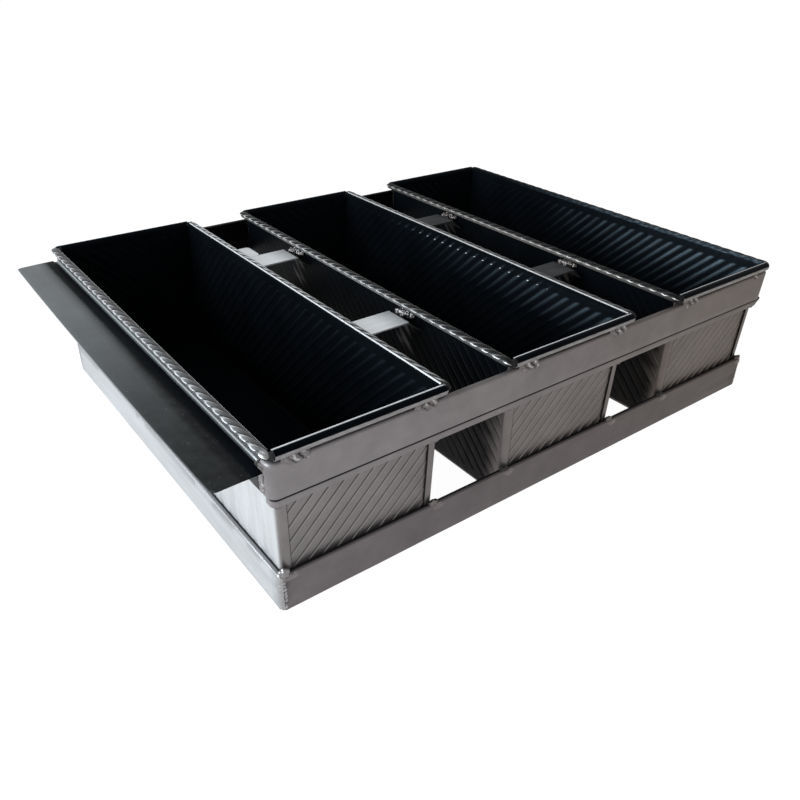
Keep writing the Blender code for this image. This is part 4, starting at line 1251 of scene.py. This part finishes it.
def weld_finish(name, metal, finishes):
    """Weld metal: bare and lumpy, with heat marks and dark pits, under the painted shade and painted
    highlights of its stain layers.
    """
    nodes = Nodes(name)
    pits, heat = nodes.cloud(700, 4), nodes.cloud(160, 3)
    tint = nodes.blend(nodes.span(heat, 0.45, 0.75, 0.0, 0.4), nodes.shaded(metal, finishes.painted_right_shade),
                       flat(finishes.heat))
    tint = nodes.blend(nodes.stain("polish"), tint, flat(finishes.bright_metal_and_highlight))
    # Dark pits, and the painted shade of the stain layer
    dark = nodes.math("MAXIMUM", nodes.span(pits, 0.62, 0.72, 0.0, 0.6), nodes.stain("soot"))
    nodes.put(nodes.shader.inputs["Base Color"], nodes.blend(dark, tint, flat(finishes.soot)))
    nodes.shader.inputs["Metallic"].default_value = 0.8
    nodes.put(nodes.shader.inputs["Roughness"], nodes.span(heat, 0.3, 0.7, 0.28, 0.44))
    nodes.put(nodes.shader.inputs["Normal"], nodes.relief(pits, 0.35, 0.0003))
    return nodes.material


def settings():
    """The scene's settings: pan sizes, frame sizes, finishes and stage."""
    scene = bpy.context.scene
    return [getattr(scene, name) for name, _ in GROUPS]


def shapes():
    """Places of the pans and of the frame, from the settings."""
    pan = PanShape(settings()[0])
    return pan, FrameShape(settings()[1], pan)


def finish(name):
    """A finish by name, made when it is first asked for."""
    if name in bpy.data.materials:
        return bpy.data.materials[name]
    finishes = settings()[2]
    if name == "weld metal":
        return weld_finish(name, finishes.weld_metal, finishes)
    metal, streaks = {
        "pan sheet": (finishes.pan_metal, (1, 1, 0.08)),
        "strap sheet": (finishes.strap_metal, (0.06, 0.06, 1)),
        "rail sheet": (finishes.rail_metal, (0.06, 0.06, 1)),
        "wing sheet": (finishes.wing_metal, (1, 0.06, 1)),
        "brace sheet": (finishes.brace_metal, (0.1, 1, 1)),
        "rim wire": (finishes.wire_metal, (1, 1, 1)),
        "inner sheet": (finishes.soot, (1, 1, 1)),
    }[name]
    painted_right_shade = (1, 1, 1) if name == "brace sheet" else finishes.painted_right_shade
    return sheet_finish(name, metal, finishes, streaks, painted_right_shade)


class LOAFPANS_OT_troughs(bpy.types.Operator):
    """Builds the three troughs with their rolled side rims"""
    bl_idname = "loafpans.troughs"
    bl_label = "Troughs"

    def execute(self, context):
        shape = shapes()[0]
        for name in PANS:
            mesh = trough_mesh(shape, *WALLS[name])
            shifted(mesh, pan_centre(name))
            add_piece(name + "_trough", mesh, [finish("pan sheet")], [name + "_pan_trough"])
        return {"FINISHED"}


class LOAFPANS_OT_ends(bpy.types.Operator):
    """Builds the end panels with their rolled rims"""
    bl_idname = "loafpans.ends"
    bl_label = "End panels"

    def execute(self, context):
        shape = shapes()[0]
        for name in PANS:
            bright, *line = FRONT_LINES[name]
            for end, rubbed in (("front", line), ("rear", REAR_LINE)):
                mesh = end_mesh(shape, bright, *rubbed)
                if end == "rear":
                    half_turned(mesh)
                shifted(mesh, pan_centre(name))
                add_piece("%s_%s_panel" % (name, end), mesh, [finish("pan sheet")],
                          ["%s_pan_%s_end" % (name, end)])
        return {"FINISHED"}


class LOAFPANS_OT_wires(bpy.types.Operator):
    """Builds the wires in the rolled rims"""
    bl_idname = "loafpans.wires"
    bl_label = "Rim wires"

    def execute(self, context):
        shape = shapes()[0]
        for name in PANS:
            mesh = wire_mesh(shape)
            shifted(mesh, pan_centre(name))
            add_piece(name + "_wire", mesh, [finish("rim wire")], [name + "_pan_rim_wire"])
        return {"FINISHED"}


class LOAFPANS_OT_straps(bpy.types.Operator):
    """Builds the upper bands, the right strap and the wing strap"""
    bl_idname = "loafpans.straps"
    bl_label = "Upper straps"

    def execute(self, context):
        shape = shapes()[1]
        sizes = shape.sizes
        metals = [finish("strap sheet"), finish("inner sheet")]
        for end, side in (("front", 1), ("rear", -1)):
            for label, mesh, sheet in (("band", band_mesh(shape, side), sizes.strap_sheet),
                                       ("lip", lip_mesh(shape), sizes.lip_sheet)):
                if end == "rear":
                    half_turned(mesh)
                shifted(mesh, shape.centre)
                node = "upper_%s_band" % end
                piece = add_piece("%s_%s" % (end, label), mesh, metals, [node])
                finish_sheet(piece, sheet, sizes.edge)
        straps = (("right_strap", right_strap_mesh(shape), "upper_right_strap", "strap sheet"),
                  ("wing_strap", wing_mesh(shape), "left_wing_strap", "wing sheet"))
        for name, mesh, node, metal in straps:
            shifted(mesh, shape.centre)
            metals = [finish(metal), finish("inner sheet"), finish("rim wire")]
            piece = add_piece(name, mesh, metals, [node])
            finish_sheet(piece, sizes.strap_sheet, sizes.edge, 2 if name == "wing_strap" else 0)
        return {"FINISHED"}


class LOAFPANS_OT_rails(bpy.types.Operator):
    """Builds the ring of lower rails"""
    bl_idname = "loafpans.rails"
    bl_label = "Lower rails"

    def execute(self, context):
        shape = shapes()[1]
        for name, quarter in (("front", 0), ("right", 1), ("rear", 2), ("left", 3)):
            ends = [shape.rail_side, shape.rail_front]
            if quarter % 2:
                ends.reverse()
            mesh = rail_mesh(shape, *ends, LEFT_RAIL_PAINTED_LIGHT if name == "left" else 0.0)
            bmesh.ops.rotate(mesh, verts=mesh.verts[:], cent=(0, 0, 0),
                             matrix=Matrix.Rotation(quarter * math.pi / 2, 3, "Z"))
            shifted(mesh, shape.centre)
            metals = [finish("rail sheet"), finish("inner sheet")]
            piece = add_piece(name + "_rail", mesh, metals, ["lower_%s_rail" % name])
            finish_sheet(piece, shape.sizes.rail_sheet, shape.sizes.edge)
        return {"FINISHED"}


class LOAFPANS_OT_braces(bpy.types.Operator):
    """Builds the braces between the pans and the tab"""
    bl_idname = "loafpans.braces"
    bl_label = "Braces"

    def execute(self, context):
        shape = shapes()[1]
        for gap in ("left", "right"):
            middle = (pan_centre("middle") + pan_centre(gap)) / 2
            soot, shine, weld_shine = BRACE_FINISH[gap]
            for row in ("front", "rear"):
                node = "brace_%s_%s" % (gap, row)
                low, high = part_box(node)
                welds = brace_weld_mesh(shape, low, high, weld_shine)
                high = Vector((2 * middle - low.x, high.y, shape.brace_top))
                mesh = brace_mesh(low, high, soot, shine)
                add_piece(node + "_plate", mesh, [finish("brace sheet")], [node])
                add_piece(node + "_weld", welds, [finish("weld metal")], [node])
        low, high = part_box("brace_tab")
        mesh = tab_mesh(low, high + TAB_REACH)
        piece = add_piece("brace_tab_plate", mesh, [finish("brace sheet")], ["brace_tab"])
        finish_sheet(piece, high.z - low.z, shape.sizes.edge)
        return {"FINISHED"}


class LOAFPANS_OT_welds(bpy.types.Operator):
    """Lays the weld metal on the bands and the rails"""
    bl_idname = "loafpans.welds"
    bl_label = "Welds"

    def execute(self, context):
        shape = shapes()[1]
        kinds = (("band", band_weld_mesh, "upper_%s_band", "strap_sheet"),
                 ("rail", rail_weld_mesh, "lower_%s_rail", "rail_sheet"))
        for end, side in (("front", 1), ("rear", -1)):
            for label, build, node, slot in kinds:
                mesh = build(shape, side)
                if end == "rear":
                    half_turned(mesh)
                shifted(mesh, shape.centre)
                add_piece("%s_%s_welds" % (end, label), mesh, [finish("weld metal")], [node % end])
        return {"FINISHED"}


class LOAFPANS_OT_stage(bpy.types.Operator):
    """Sets up the white floor, the soft light and the camera"""
    bl_idname = "loafpans.stage"
    bl_label = "Stage"

    def execute(self, context):
        stage = settings()[3]
        scene = context.scene
        scene.view_settings.view_transform = "Standard"
        make_floor(stage)
        make_sky(scene, stage)
        add_lamp("key", stage.key, stage.key_tint, *KEY_LAMP)
        add_lamp("fill", stage.fill, (1, 1, 1), *FILL_LAMP)
        camera = bpy.data.cameras.new("camera")
        camera.lens = stage.lens
        camera.shift_x, camera.shift_y = stage.shift
        eye = bpy.data.objects.new("camera", camera)
        eye.location = stage.place
        aim = (Matrix.Rotation(stage.heading, 3, "Z") @ Matrix.Rotation(math.pi / 2 - stage.tilt, 3, "X")
               @ Matrix.Rotation(stage.roll, 3, "Z"))
        eye.rotation_euler = aim.to_euler()
        scene.collection.objects.link(eye)
        scene.camera = eye
        return {"FINISHED"}


def shown_directly(tree):
    """1 for rays from the camera, off gloss or through glass, and 0 for soft light."""
    path = tree.nodes.new("ShaderNodeLightPath")
    total = path.outputs["Is Camera Ray"]
    for name in ("Is Glossy Ray", "Is Transmission Ray"):
        either = tree.nodes.new("ShaderNodeMath")
        either.operation = "MAXIMUM"
        tree.links.new(total, either.inputs[0])
        tree.links.new(path.outputs[name], either.inputs[1])
        total = either.outputs[0]
    return total


def make_floor(stage):
    """A white floor that keeps a soft shadow."""
    mesh = bmesh.new()
    bmesh.ops.create_grid(mesh, x_segments=4, y_segments=4, size=6)
    data = bpy.data.meshes.new("floor")
    mesh.to_mesh(data)
    mesh.free()
    floor = bpy.data.objects.new("floor", data)
    bpy.context.scene.collection.objects.link(floor)
    material = bpy.data.materials.new("white floor")
    material.use_nodes = True
    tree = material.node_tree
    tree.nodes.clear()
    lit, faint = (tree.nodes.new("ShaderNodeBsdfDiffuse") for _ in range(2))
    lit.inputs["Color"].default_value = (0.8, 0.8, 0.8, 1)
    faint.inputs["Color"].default_value = (0.12, 0.12, 0.12, 1)
    glow = tree.nodes.new("ShaderNodeEmission")
    glow.inputs["Strength"].default_value = stage.floor_glow
    both = tree.nodes.new("ShaderNodeAddShader")
    tree.links.new(glow.outputs[0], both.inputs[0])
    tree.links.new(faint.outputs[0], both.inputs[1])
    choice = tree.nodes.new("ShaderNodeMixShader")
    tree.links.new(shown_directly(tree), choice.inputs[0])
    tree.links.new(lit.outputs[0], choice.inputs[1])
    tree.links.new(both.outputs[0], choice.inputs[2])
    output = tree.nodes.new("ShaderNodeOutputMaterial")
    tree.links.new(choice.outputs[0], output.inputs["Surface"])
    data.materials.append(material)


def make_sky(scene, stage):
    """White all round for the camera and for gloss, softer for the light that it gives."""
    scene.world = bpy.data.worlds.new("white surround")
    scene.world.use_nodes = True
    tree = scene.world.node_tree
    back = tree.nodes["Background"]
    back.inputs["Color"].default_value = (1, 1, 1, 1)
    level = tree.nodes.new("ShaderNodeMapRange")
    level.inputs["To Min"].default_value = stage.sky
    level.inputs["To Max"].default_value = 1.0
    tree.links.new(shown_directly(tree), level.inputs["Value"])
    tree.links.new(level.outputs["Result"], back.inputs["Strength"])


def add_lamp(name, power, tint, size, place, target):
    """A soft square lamp aimed at a point."""
    lamp = bpy.data.lights.new(name, "AREA")
    lamp.energy = power
    lamp.size = size
    lamp.color = tint
    holder = bpy.data.objects.new(name, lamp)
    holder.location = place
    holder.rotation_euler = (Vector(target) - Vector(place)).to_track_quat("-Z", "Y").to_euler()
    bpy.context.scene.collection.objects.link(holder)


OPERATORS = (LOAFPANS_OT_troughs, LOAFPANS_OT_ends, LOAFPANS_OT_wires, LOAFPANS_OT_straps, LOAFPANS_OT_rails,
             LOAFPANS_OT_braces, LOAFPANS_OT_welds, LOAFPANS_OT_stage)


class LOAFPANS_PT_panel(bpy.types.Panel):
    """Lists the pieces of the set"""
    bl_idname = "LOAFPANS_PT_panel"
    bl_label = "Loaf pan set"
    bl_space_type = "VIEW_3D"
    bl_region_type = "UI"
    bl_category = "Loaf pans"

    def draw(self, context):
        for operator in OPERATORS:
            self.layout.operator(operator.bl_idname)


CLASSES = (*(group for _, group in GROUPS), *OPERATORS, LOAFPANS_PT_panel)


def register():
    """Makes the settings, operators and panel known."""
    for kind in CLASSES:
        bpy.utils.register_class(kind)
    for name, group in GROUPS:
        setattr(bpy.types.Scene, name, PointerProperty(type=group))


def unregister():
    """Takes the settings, operators and panel away again."""
    for name, _ in GROUPS:
        delattr(bpy.types.Scene, name)
    for kind in reversed(CLASSES):
        bpy.utils.unregister_class(kind)


def main():
    """Builds the set and its stage."""
    register()
    bpy.ops.loafpans.troughs()
    bpy.ops.loafpans.ends()
    bpy.ops.loafpans.wires()
    bpy.ops.loafpans.straps()
    bpy.ops.loafpans.rails()
    bpy.ops.loafpans.braces()
    bpy.ops.loafpans.welds()
    bpy.ops.loafpans.stage()


if __name__ == "__main__":
    main()
